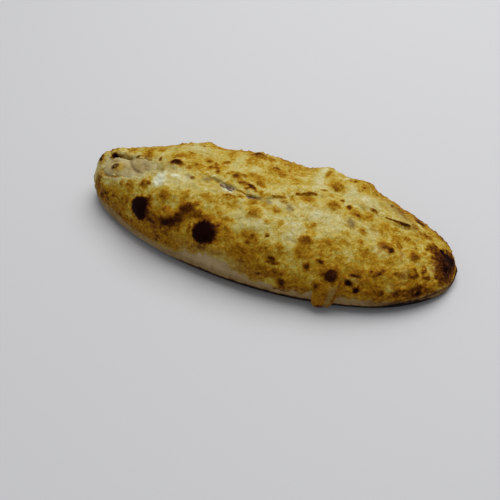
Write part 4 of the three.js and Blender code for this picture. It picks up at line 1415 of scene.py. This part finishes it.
@dataclass
class DoughBody:
    """The folded bread itself, which shows as the bare rim, the bare pinched end and the flat underside."""

    bread: Bread
    browning: Browning
    stations: int = 250
    rows: Rows = Rows(236, 0.5)
    tip: float = 0.001
    bare_level: float = 0.85
    foot_inset: float = -0.1
    foot_height: Ease = Ease(4, 9)
    covered: Ease = Ease(0, 4.5)
    laid_bare: Ease = Ease(1.45, 1.15)
    trough_sides: tuple[Ease, Ease] = (Ease(-3.2, -0.9), Ease(3.6, 0.7))
    rough: tuple[Cloud, ...] = (Cloud(0.3, 7, 41), Cloud(0.12, 2, 42))
    # Browning: how much each adds, and where it sets in
    plain_tone: float = 0.1
    blots: Cloud = Cloud(0.12, 12, 43)
    grain: Cloud = Cloud(1, 3.5, 44)
    grain_tone: float = 0.12
    low_tone: Ease = Ease(15, 9, 0.26)
    flecks: Dots = Dots(2.6, 46)
    fleck_tone: Ease = Ease(0.32, 0.12, 0.2)
    fleck_height: Ease = Ease(6, 10)
    bare_grain: Cloud = Cloud(0.16, 1.6, 47, 2)
    tip_tone: float = 0.35
    right_tone: Ease = Ease(60, 100, 0.3)
    right_rim: tuple[Ease, Ease] = (Ease(6.4, 8, 0.3), Ease(86, 100))
    under_height: Ease = Ease(1.2, 0.3)
    under_tone: float = 0.2
    under_blots: Cloud = Cloud(1, 18, 45)
    under_blot_tone: Ease = Ease(0.05, 0.5, 0.3)
    # Painted shade on the curled-under foot: its edge, raggedness, grain, and how it lightens towards the floor
    shaded_foot_edge: Pair = (0.2, -1.4)
    shaded_foot_ragged: float = 0.5
    shaded_foot_grain: float = 0.2
    shaded_foot_fade: Ease = Ease(-1.8, -5, 0.5)
    # Height of the painted shade on the curled-under foot at places along the bread: below it the dough is
    # painted near black
    foot: tuple[Pair, ...] = (
        (-80, 3.6), (-55, 5.2), (-40, 6.9), (-28, 7.7), (45, 7.9),
        (58, 7.2), (85, 7.1), (98, 8.0), (112, 6.8), (122, 3.4),
    )
    burnt_tip: tuple[float, ...] = (119, -1, 15, 22)
    oily_place: tuple[float, ...] = (-99.6, -4.8, 10, 8.4)
    # Marks on the bare end, with how much each adds to the tone
    spots: tuple[tuple[float, tuple[float, ...]], ...] = (
        (1.0, (-102.8, -4.2, 5.8, 4.8, 15)),
        (-0.7, (-102.2, -4.2, 2.2, 1.8, 15)),
        (0.2, (-91, -15, 8, 3)),
        (0.14, (-83, -3, 12, 9)),
        (0.3, (-105.4, 1.2, 7, 3)),
    )

    def build(self) -> bpy.types.Object:
        """Models the dough.

        Returns:
            The piece.
        """
        bread, form = self.bread, self.bread.form
        skin, station, row = ball_skin(self.stations, self.rows.count)
        u_all = spaced_stations(self.stations, 0.0, 1.0)
        turn = (1.5 * math.pi, -0.5 * math.pi)
        inner = np.clip(u_all, self.tip, 1 - self.tip)
        angles = np.array([self.rows.angles(bread, float(u), turn)[0] for u in inner])
        u, angle = u_all[station], angles[station, row]
        base, normal = form.point(u, angle), form.normal(u, angle)
        offset, ends = bread.offsets(inner[station], base), form.fade(u)
        front_edge, rear_edge = bread.edges(u)
        section = form.section(u)
        inside = np.minimum(front_edge - angle, angle - rear_edge) * np.maximum(section.top - section.rim, 1)
        bare = self.laid_bare.at(bread.bare_place.share(base, bread.opening_outline(base)))
        trough = bread.trough_share(base[:, 0]) * within(offset, *self.trough_sides)
        inset = mixed(self.foot_inset, bread.bare_inset, self.foot_height.at(base[:, 2]))
        inset = mixed(inset, bread.cheese_thickness + bread.gap, self.covered.at(inside))
        inset = inset * (1 - smooth(0.1, math.sin(form.curl_angle), np.maximum(0, -np.sin(angle))))
        inset = mixed(inset, self.bare_level, bare) + bread.crease_drop(base) * bare + bread.trough_depth * trough
        rough = summed(base, *self.rough) * smooth(-0.3, 0.2, np.sin(angle))
        relief = bread.relief(u, base, offset) * smooth(-2, 2, inside)
        place = base + normal * (relief + ends * (rough - inset))[:, None]
        place[:, 2] = np.maximum(place[:, 2], 0)
        pole = (station == 0) | (station == self.stations)
        place[pole] = form.point(u[pole], np.full(pole.sum(), math.pi / 2))
        skin.place(place)
        return skin.piece("dough_body", self.tones(base, bare, ends), bread.shift)

    def tones(self, base: Array, bare: Array, ends: Array) -> dict[str, Array]:
        """Browning and flour of the bare dough, with painted shade on the curled-under foot and in the creases of
        the bare end.

        Args:
            base: Points of the form.
            bare: 1 on the bare pinched end.
            ends: 0 at the two tips.

        Returns:
            Attributes by name.
        """
        x, _, z = base.T
        grain, above = self.grain.at(base), z - table(x, self.foot)
        flecks = self.fleck_tone.at(self.flecks.away(base)) * self.fleck_height.at(z)
        tone = self.plain_tone + self.blots.at(base) + self.grain_tone * grain
        tone = tone + self.bare_grain.at(base) * bare
        tone = tone + (self.low_tone.at(z) + flecks + self.right_tone.at(x)) * (1 - bare)
        # Painted shade: below the foot's height the dough turns near black, standing in for the shade under the
        # curled-under foot
        foot = smooth(self.shaded_foot_edge[0] + self.shaded_foot_ragged * grain, self.shaded_foot_edge[1], above)
        tone = tone + foot * (1 + self.shaded_foot_grain * grain - self.shaded_foot_fade.at(above))
        tone = tone + self.tip_tone * (1 - ends) + self.right_rim[0].at(z) * self.right_rim[1].at(x)
        under = self.under_tone + self.under_blot_tone.at(self.under_blots.at(base))
        tone = tone + self.under_height.at(z) * under
        tone = tone + 1.1 * self.browning.spot(base, grain, Face.TOP, self.burnt_tip, 0.6)
        for share, place in self.spots:
            tone = tone + share * self.browning.spot(base, grain, Face.TOP, place, 0.5)
        oily = self.browning.spot(base, grain, Face.TOP, self.oily_place, 0.5)
        # The crease depth is kept only to paint shade into the creases
        return {"tone": tone, "fold": self.bread.crease_drop(base) * bare, "oily": oily * bare, "bare": bare}


@dataclass
class TunaFilling:
    """Flaked tuna in the trough under the seam, rising into the openings of the cheese."""

    bread: Bread
    start: float = -44.0
    finish: float = 31.5
    rings: int = 150
    sides: int = 44
    half_width: float = 2.5
    half_depth: float = 2.0
    depth: float = 4.2
    gap_lift: float = 1.5
    flakes: int = 46
    flake_sizes: tuple[Pair, Pair, Pair] = ((1.1, 2.0), (0.5, 0.9), (0.35, 0.6))
    flake_spread: Pair = (0.95, 0.8)
    flake_turns: Pair = (0.7, 0.5)
    flake_lift: Pair = (-0.4, 0.2)
    fibres: Cloud = Cloud(1, 3.2, 51, 3, (2.4, 1, 1))
    crumbs: Cloud = Cloud(0.3, 1.5, 52)
    shades: Cloud = Cloud(0.6, 2.2, 53)
    middle_tone: float = 0.42

    def _level(self, x: Array) -> Array:
        """Finds the surface over the trough.

        Args:
            x: Places along the bread.

        Returns:
            Its height over the trough's middle, that middle's place across, and how open the cheese is.
        """
        form, seam = self.bread.form, self.bread.seam
        u, y = form.station(x), seam.y(x) + seam.foot
        base = form.point(u, form.angle_at(u, y))
        rise = self.bread.relief(u, base, self.bread.offsets(u, base))
        rise = rise + 0.5 * seam.groove_depth * seam.openness(x)
        opened = np.max([swell(x, gap.x, gap.half[0]) for gap in self.bread.gaps], axis=0)
        return np.stack([base[:, 2] + rise, y, opened], axis=-1)

    def build(self) -> bpy.types.Object:
        """Models the strip of filling with its flakes.

        Returns:
            The piece.
        """
        skin, ring, side = ball_skin(self.rings, self.sides)
        level, around = ring / self.rings, side / self.sides * 2 * math.pi
        x = self.start + (self.finish - self.start) * level
        top, middle, opened = self._level(x).T
        blunt = np.sqrt(np.maximum(0, 1 - (2 * level - 1) ** 16))
        blunt = blunt * smooth(0, 0.05, level) * smooth(1, 0.95, level)
        out = np.stack([0 * x, blunt * np.cos(around), blunt * np.sin(around)], axis=-1)
        centre = np.stack([x, middle, top - self.depth + self.gap_lift * opened], axis=-1)
        place = centre + out * (0, self.half_width, self.half_depth)
        flaky = 0.5 * (0.4 - np.abs(self.fibres.at(place))) + self.crumbs.at(place)
        skin.place(place + out * flaky[:, None])
        self._add_flakes(skin)
        tone = self.middle_tone + self.shades.at(skin.renumbered())
        return skin.piece("tuna_flakes", {"tone": tone}, self.bread.shift)

    def _add_flakes(self, skin: Skin) -> None:
        """Scatters small flat flakes on the filling where the cheese is open.

        Args:
            skin: The filling.
        """
        draw = random.Random(5)
        (along, across), (turned, tilted) = self.flake_spread, self.flake_turns
        for k in range(self.flakes):
            gap = self.bread.gaps[k % len(self.bread.gaps)]
            x = gap.x + draw.uniform(-along, along) * gap.half[0]
            top = self._level(np.array([x]))[0, 0]
            y = gap.y + math.tan(gap.turn) * (x - gap.x) + draw.uniform(-across, across) * gap.half[1]
            made = bmesh.ops.create_icosphere(skin.bm, subdivisions=2, radius=1.0)["verts"]
            size = Matrix.Diagonal([draw.uniform(*span) for span in self.flake_sizes]).to_4x4()
            turn = Matrix.Rotation(draw.uniform(-turned, turned), 4, "Z")
            turn = turn @ Matrix.Rotation(draw.uniform(-tilted, tilted), 4, "X")
            lift = Matrix.Translation((x, y, top - 1.3 + draw.uniform(*self.flake_lift)))
            for corner in made:
                corner.co *= 1 + 0.22 * noise.noise(corner.co * 1.7 + Vector((k, 0, 0)))
            bmesh.ops.transform(skin.bm, matrix=lift @ turn @ size, verts=made)


# ---- Finishes ----


class Value:
    """A socket that takes part in sums, each of which adds a Math node."""

    def __init__(self, book: "NodeBook", socket: bpy.types.NodeSocket) -> None:
        """Keeps the socket and the nodes that it belongs to."""
        self.book, self.socket = book, socket

    def _math(self, operation: str, first: "Value | float", second: "Value | float") -> "Value":
        """Adds one Math node."""
        return self.book.add("ShaderNodeMath", {"operation": operation}, {0: first, 1: second})

    def __add__(self, other: "Value | float") -> "Value":
        """Sum."""
        return self._math("ADD", self, other)

    __radd__ = __add__

    def __sub__(self, other: "Value | float") -> "Value":
        """Difference."""
        return self._math("SUBTRACT", self, other)

    def __rsub__(self, other: "Value | float") -> "Value":
        """Difference with this value second."""
        return self._math("SUBTRACT", other, self)

    def __mul__(self, other: "Value | float") -> "Value":
        """Product."""
        return self._math("MULTIPLY", self, other)


class NodeBook:
    """Nodes of one material. Colours go by tone, over a span that every ramp covers."""

    tone_start: float = -0.3
    tone_span: float = 1.6

    def __init__(self, name: str) -> None:
        """Starts a material with its surface shader.

        Args:
            name: The material's name.
        """
        self.material = bpy.data.materials.new(name)
        self.material.use_nodes = True
        self.tree = self.material.node_tree
        self.tree.nodes.clear()
        output = self.tree.nodes.new("ShaderNodeOutputMaterial")
        self.surface = self.tree.nodes.new("ShaderNodeBsdfPrincipled")
        self.tree.links.new(self.surface.outputs["BSDF"], output.inputs["Surface"])
        self.place = self.add("ShaderNodeTexCoord", {}, {}, "Object")

    def feed(self, socket: bpy.types.NodeSocket, value: "Value | float | Sequence[float]") -> None:
        """Links a value to a socket, or sets it there.

        Args:
            socket: The socket.
            value: A link, a number or a colour.
        """
        if isinstance(value, Value):
            self.tree.links.new(value.socket, socket)
        else:
            socket.default_value = value

    def add(self, kind: str, settings: dict, inputs: dict, output: str | int = 0) -> Value:
        """Adds a node.

        Args:
            kind: Its type.
            settings: Its properties, with a ramp's stops under "stops".
            inputs: Values or links of its sockets, by name or number.
            output: The socket that is returned.

        Returns:
            That socket's value.
        """
        node = self.tree.nodes.new(kind)
        for name, value in settings.items():
            if name == "stops":
                self._set_stops(node.color_ramp, value)
            else:
                setattr(node, name, value)
        for name, value in inputs.items():
            self.feed(node.inputs[name], value)
        return Value(self, node.outputs[output])

    def _set_stops(self, ramp: bpy.types.ColorRamp, stops: Stops) -> None:
        """Sets a ramp's stops.

        Args:
            ramp: The ramp.
            stops: Tones and their colours.
        """
        while len(ramp.elements) < len(stops):
            ramp.elements.new(0.5)
        for element, (tone, colour) in zip(ramp.elements, stops):
            element.position = (tone - self.tone_start) / self.tone_span
            element.color = (*colour, 1.0)

    def attribute(self, name: str) -> Value:
        """Value of a mesh attribute."""
        return self.add("ShaderNodeAttribute", {"attribute_name": name}, {}, "Fac")

    def speckle(self, size: float, detail: float = 3.0, roughness: float = 0.6) -> Value:
        """Noise from 0 to 1 with blots of a size in metres."""
        inputs = {"Vector": self.place, "Scale": 1 / size, "Detail": detail, "Roughness": roughness}
        return self.add("ShaderNodeTexNoise", {}, inputs, "Fac")

    def spanned(self, tone: Value) -> Value:
        """A tone as a share of the ramps' span."""
        return (tone - self.tone_start) * (1 / self.tone_span)

    def ramp(self, stops: Stops, share: Value) -> Value:
        """Colour at a share of the span."""
        return self.add("ShaderNodeValToRGB", {"stops": stops}, {"Fac": share}, "Color")

    def blend(self, share: Value, first: Value | Sequence[float], second: Value | Sequence[float]) -> Value:
        """Mix of two colours."""
        return self.add("ShaderNodeMix", {"data_type": "RGBA"}, {0: share, 6: first, 7: second}, 2)

    def bump(self, height: Value, distance: float, strength: float) -> Value:
        """Normal from a height, its distance in metres."""
        inputs = {"Height": height, "Distance": distance, "Strength": strength}
        return self.add("ShaderNodeBump", {}, inputs, "Normal")

    def dress(self, **sockets: "Value | float | Sequence[float]") -> bpy.types.Material:
        """Feeds the surface shader.

        Args:
            **sockets: Values of its sockets, named with underscores for spaces.

        Returns:
            The finished material.
        """
        for name, value in sockets.items():
            self.feed(self.surface.inputs[name.replace("_", " ")], value)
        return self.material


@dataclass(frozen=True)
class DoughFinish:
    """Matt, floury baked dough, with painted shade darkening the creases of its bare end."""

    stops: Stops = (
        (-0.1, (0.58, 0.45, 0.26)),
        (0.1, (0.48, 0.34, 0.165)),
        (0.35, (0.34, 0.22, 0.09)),
        (0.7, (0.18, 0.09, 0.03)),
        (1.0, (0.05, 0.02, 0.008)),
        (1.3, (0.008, 0.004, 0.003)),
    )
    bare_stops: Stops = (
        (-0.1, (0.64, 0.56, 0.3)),
        (0.1, (0.54, 0.44, 0.2)),
        (0.35, (0.36, 0.25, 0.09)),
        (0.7, (0.16, 0.085, 0.022)),
        (1.0, (0.05, 0.02, 0.008)),
    )
    oily_stops: Stops = (
        (0.0, (0.5, 0.34, 0.05)),
        (0.3, (0.38, 0.22, 0.018)),
        (0.6, (0.17, 0.075, 0.006)),
        (1.0, (0.04, 0.012, 0.003)),
    )
    crease_shade_colour: Quad = (0.26, 0.17, 0.08, 1.0)
    roughness: float = 0.78

    def material(self) -> bpy.types.Material:
        """Builds the dough's nodes.

        Returns:
            The material.
        """
        book = NodeBook("baked_dough")
        mottle, fine = book.speckle(0.005), book.speckle(0.0011, 4)
        share = book.spanned(book.attribute("tone") + (mottle - 0.5) * 0.22 + (fine - 0.5) * 0.3)
        colour = book.ramp(self.stops, share)
        colour = book.blend(book.attribute("bare"), colour, book.ramp(self.bare_stops, share))
        # Painted shade: the creases of the bare end are darkened towards a shade colour
        colour = book.blend(book.attribute("fold") * 0.6, colour, self.crease_shade_colour)
        colour = book.blend(book.attribute("oily") * 0.9, colour, book.ramp(self.oily_stops, share))
        rough = self.roughness + (fine - 0.5) * 0.2
        normal = book.bump(mottle * 0.5 + fine, 0.0004, 0.6)
        return book.dress(Base_Color=colour, Roughness=rough, Normal=normal, Specular_IOR_Level=0.08)


@dataclass(frozen=True)
class CheeseFinish:
    """Melted and set cheese, oily where pale, dry where brown, matt black where burnt."""

    stops: Stops = (
        (-0.3, (0.9, 0.88, 0.64)),
        (-0.1, (0.76, 0.7, 0.38)),
        (0.0, (0.68, 0.575, 0.2)),
        (0.15, (0.6, 0.435, 0.066)),
        (0.3, (0.51, 0.295, 0.018)),
        (0.45, (0.41, 0.19, 0.007)),
        (0.6, (0.28, 0.108, 0.004)),
        (0.75, (0.15, 0.046, 0.003)),
        (0.9, (0.066, 0.017, 0.002)),
        (1.05, (0.028, 0.006, 0.002)),
        (1.2, (0.011, 0.0018, 0.0012)),
    )
    thin_stops: Stops = (
        (-0.3, (0.88, 0.85, 0.62)),
        (-0.1, (0.7, 0.63, 0.33)),
        (0.1, (0.58, 0.47, 0.16)),
        (0.3, (0.47, 0.31, 0.06)),
        (0.55, (0.31, 0.165, 0.03)),
        (0.8, (0.14, 0.055, 0.01)),
        (1.2, (0.008, 0.002, 0.002)),
    )
    grey_colour: Quad = (0.21, 0.15, 0.065, 1.0)
    roughness: float = 0.4

    def material(self) -> bpy.types.Material:
        """Builds the cheese's nodes.

        Returns:
            The material.
        """
        book = NodeBook("browned_cheese")
        patch, speck, grit = book.speckle(0.0042, 4), book.speckle(0.0014, 3), book.speckle(0.0007, 2)
        tone = book.attribute("tone") + (patch - 0.5) * 0.18 + (speck - 0.5) * 0.42 + (grit - 0.5) * 0.36
        share = book.spanned(tone)
        colour = book.ramp(self.stops, share)
        colour = book.blend(book.attribute("thin"), colour, book.ramp(self.thin_stops, share))
        colour = book.blend(book.attribute("grey") * 0.75, colour, self.grey_colour)
        return book.dress(
            Base_Color=colour,
            Roughness=self.roughness + tone * 0.25 + (speck - 0.5) * 0.25,
            Normal=book.bump(patch * 0.5 + speck * 0.8 + grit * 0.4, 0.0007, 0.85),
            Specular_IOR_Level=0.03,
            Coat_Weight=(0.3 - tone) * 0.7,
            Coat_Roughness=0.28,
            Subsurface_Weight=0.1,
            Subsurface_Radius=(0.003, 0.0018, 0.0006),
            Subsurface_Scale=1.0,
        )


@dataclass(frozen=True)
class TunaFinish:
    """Moist cooked tuna with a lilac cast."""

    stops: Stops = (
        (-0.1, (0.06, 0.022, 0.01)),
        (0.3, (0.18, 0.1, 0.045)),
        (0.7, (0.34, 0.24, 0.12)),
        (1.1, (0.58, 0.49, 0.29)),
    )

    def material(self) -> bpy.types.Material:
        """Builds the filling's nodes.

        Returns:
            The material.
        """
        book = NodeBook("flaked_tuna")
        fibre, fine = book.speckle(0.0022, 4), book.speckle(0.0007, 3)
        share = book.spanned(book.attribute("tone") + (fibre - 0.5) * 0.9 + (fine - 0.5) * 0.4)
        colour = book.ramp(self.stops, share)
        normal = book.bump(fibre + fine * 0.5, 0.0005, 0.7)
        return book.dress(Base_Color=colour, Roughness=0.35 + fine * 0.25, Normal=normal)


@dataclass(frozen=True)
class FloorFinish:
    """Plain pale floor."""

    colour: Quad = (0.72, 0.72, 0.73, 1.0)
    roughness: float = 0.7

    def material(self) -> bpy.types.Material:
        """Builds the floor's nodes."""
        return NodeBook("pale_floor").dress(Base_Color=self.colour, Roughness=self.roughness)


# ---- Studio ----


@dataclass(frozen=True)
class SoftLight:
    """A square area light aimed at the bread: place in metres, width and power in watts."""

    name: str
    place: Triple
    width: float
    power: float

    def build(self) -> None:
        """Adds the light."""
        data = bpy.data.lights.new(self.name, "AREA")
        data.shape, data.size, data.energy = "SQUARE", self.width, self.power
        lamp = linked(self.name, data)
        lamp.location = self.place
        lamp.rotation_euler = Vector(self.place).to_track_quat("Z", "Y").to_euler()


@dataclass(frozen=True)
class Studio:
    """Plain floor, soft light and the camera, whose place and axes are in metres."""

    floor_half: float = 3.0
    sky_colour: Quad = (0.95, 0.97, 1.0, 1.0)
    sky_strength: float = 0.25
    lights: tuple[SoftLight, ...] = (
        SoftLight("key", (0.1, 0.6, 1.35), 1.3, 17.6),
        SoftLight("fill", (0.7, -0.9, 0.9), 1.2, 0.2),
    )
    eye: Triple = (0.102342, -0.283479, 0.324800)
    right: Triple = (0.93947, 0.34170, -0.02533)
    up: Triple = (-0.24043, 0.71012, 0.66176)
    forward: Triple = (-0.24411, 0.61561, -0.74929)
    focal_share: float = 662.15 / 500
    sensor: float = 36.0
    clip: Pair = (0.01, 20.0)

    def build(self) -> None:
        """Sets the floor, the lights and the camera."""
        self._lay_floor()
        for light in self.lights:
            light.build()
        scene = bpy.context.scene
        scene.world = bpy.data.worlds.new("studio")
        scene.world.use_nodes = True
        sky = scene.world.node_tree.nodes["Background"].inputs
        sky["Color"].default_value, sky["Strength"].default_value = self.sky_colour, self.sky_strength
        scene.view_settings.view_transform = "Standard"
        scene.camera = self._camera()

    def _lay_floor(self) -> None:
        """Adds the floor."""
        bm = bmesh.new()
        bmesh.ops.create_grid(bm, x_segments=2, y_segments=2, size=self.floor_half)
        mesh = bpy.data.meshes.new("floor")
        bm.to_mesh(mesh)
        bm.free()
        mesh.materials.append(FloorFinish().material())
        floor = linked("floor", mesh)

    def _camera(self) -> bpy.types.Object:
        """Adds the camera.

        Returns:
            The camera, at the photograph's viewing angle.
        """
        data = bpy.data.cameras.new("camera")
        data.sensor_width, data.lens = self.sensor, self.focal_share * self.sensor
        data.clip_start, data.clip_end = self.clip
        camera = linked("camera", data)
        axes = Matrix((self.right, self.up, -Vector(self.forward))).transposed()
        camera.matrix_world = Matrix.Translation(self.eye) @ axes.to_4x4()
        return camera


def add_piece(piece: bpy.types.Object, node: str, material: bpy.types.Material) -> None:
    """Dresses a piece and ties it to the frame.

    Args:
        piece: The piece.
        node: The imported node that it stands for.
        material: Its finish.
    """
    piece.data.materials.append(material)
    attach(piece, "root")
    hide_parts(node)
    log.info("%s: %d corners, %d faces", piece.name, len(piece.data.vertices), len(piece.data.polygons))


def main() -> None:
    """Builds every piece in order and reports each."""
    logging.basicConfig(level=logging.INFO, format="%(name)s %(message)s")
    Studio().build()
    bread = Bread()
    browning = Browning(bread)
    cheese = CheeseFinish().material()
    add_piece(DoughBody(bread, browning).build(), "dough", DoughFinish().material())
    add_piece(TunaFilling(bread).build(), "tuna_filling", TunaFinish().material())
    add_piece(CheeseCrust(bread, browning).build(), "cheese", cheese)
    add_piece(CheeseDrip(bread).build(), "cheese", cheese)


if __name__ == "__main__":
    main()
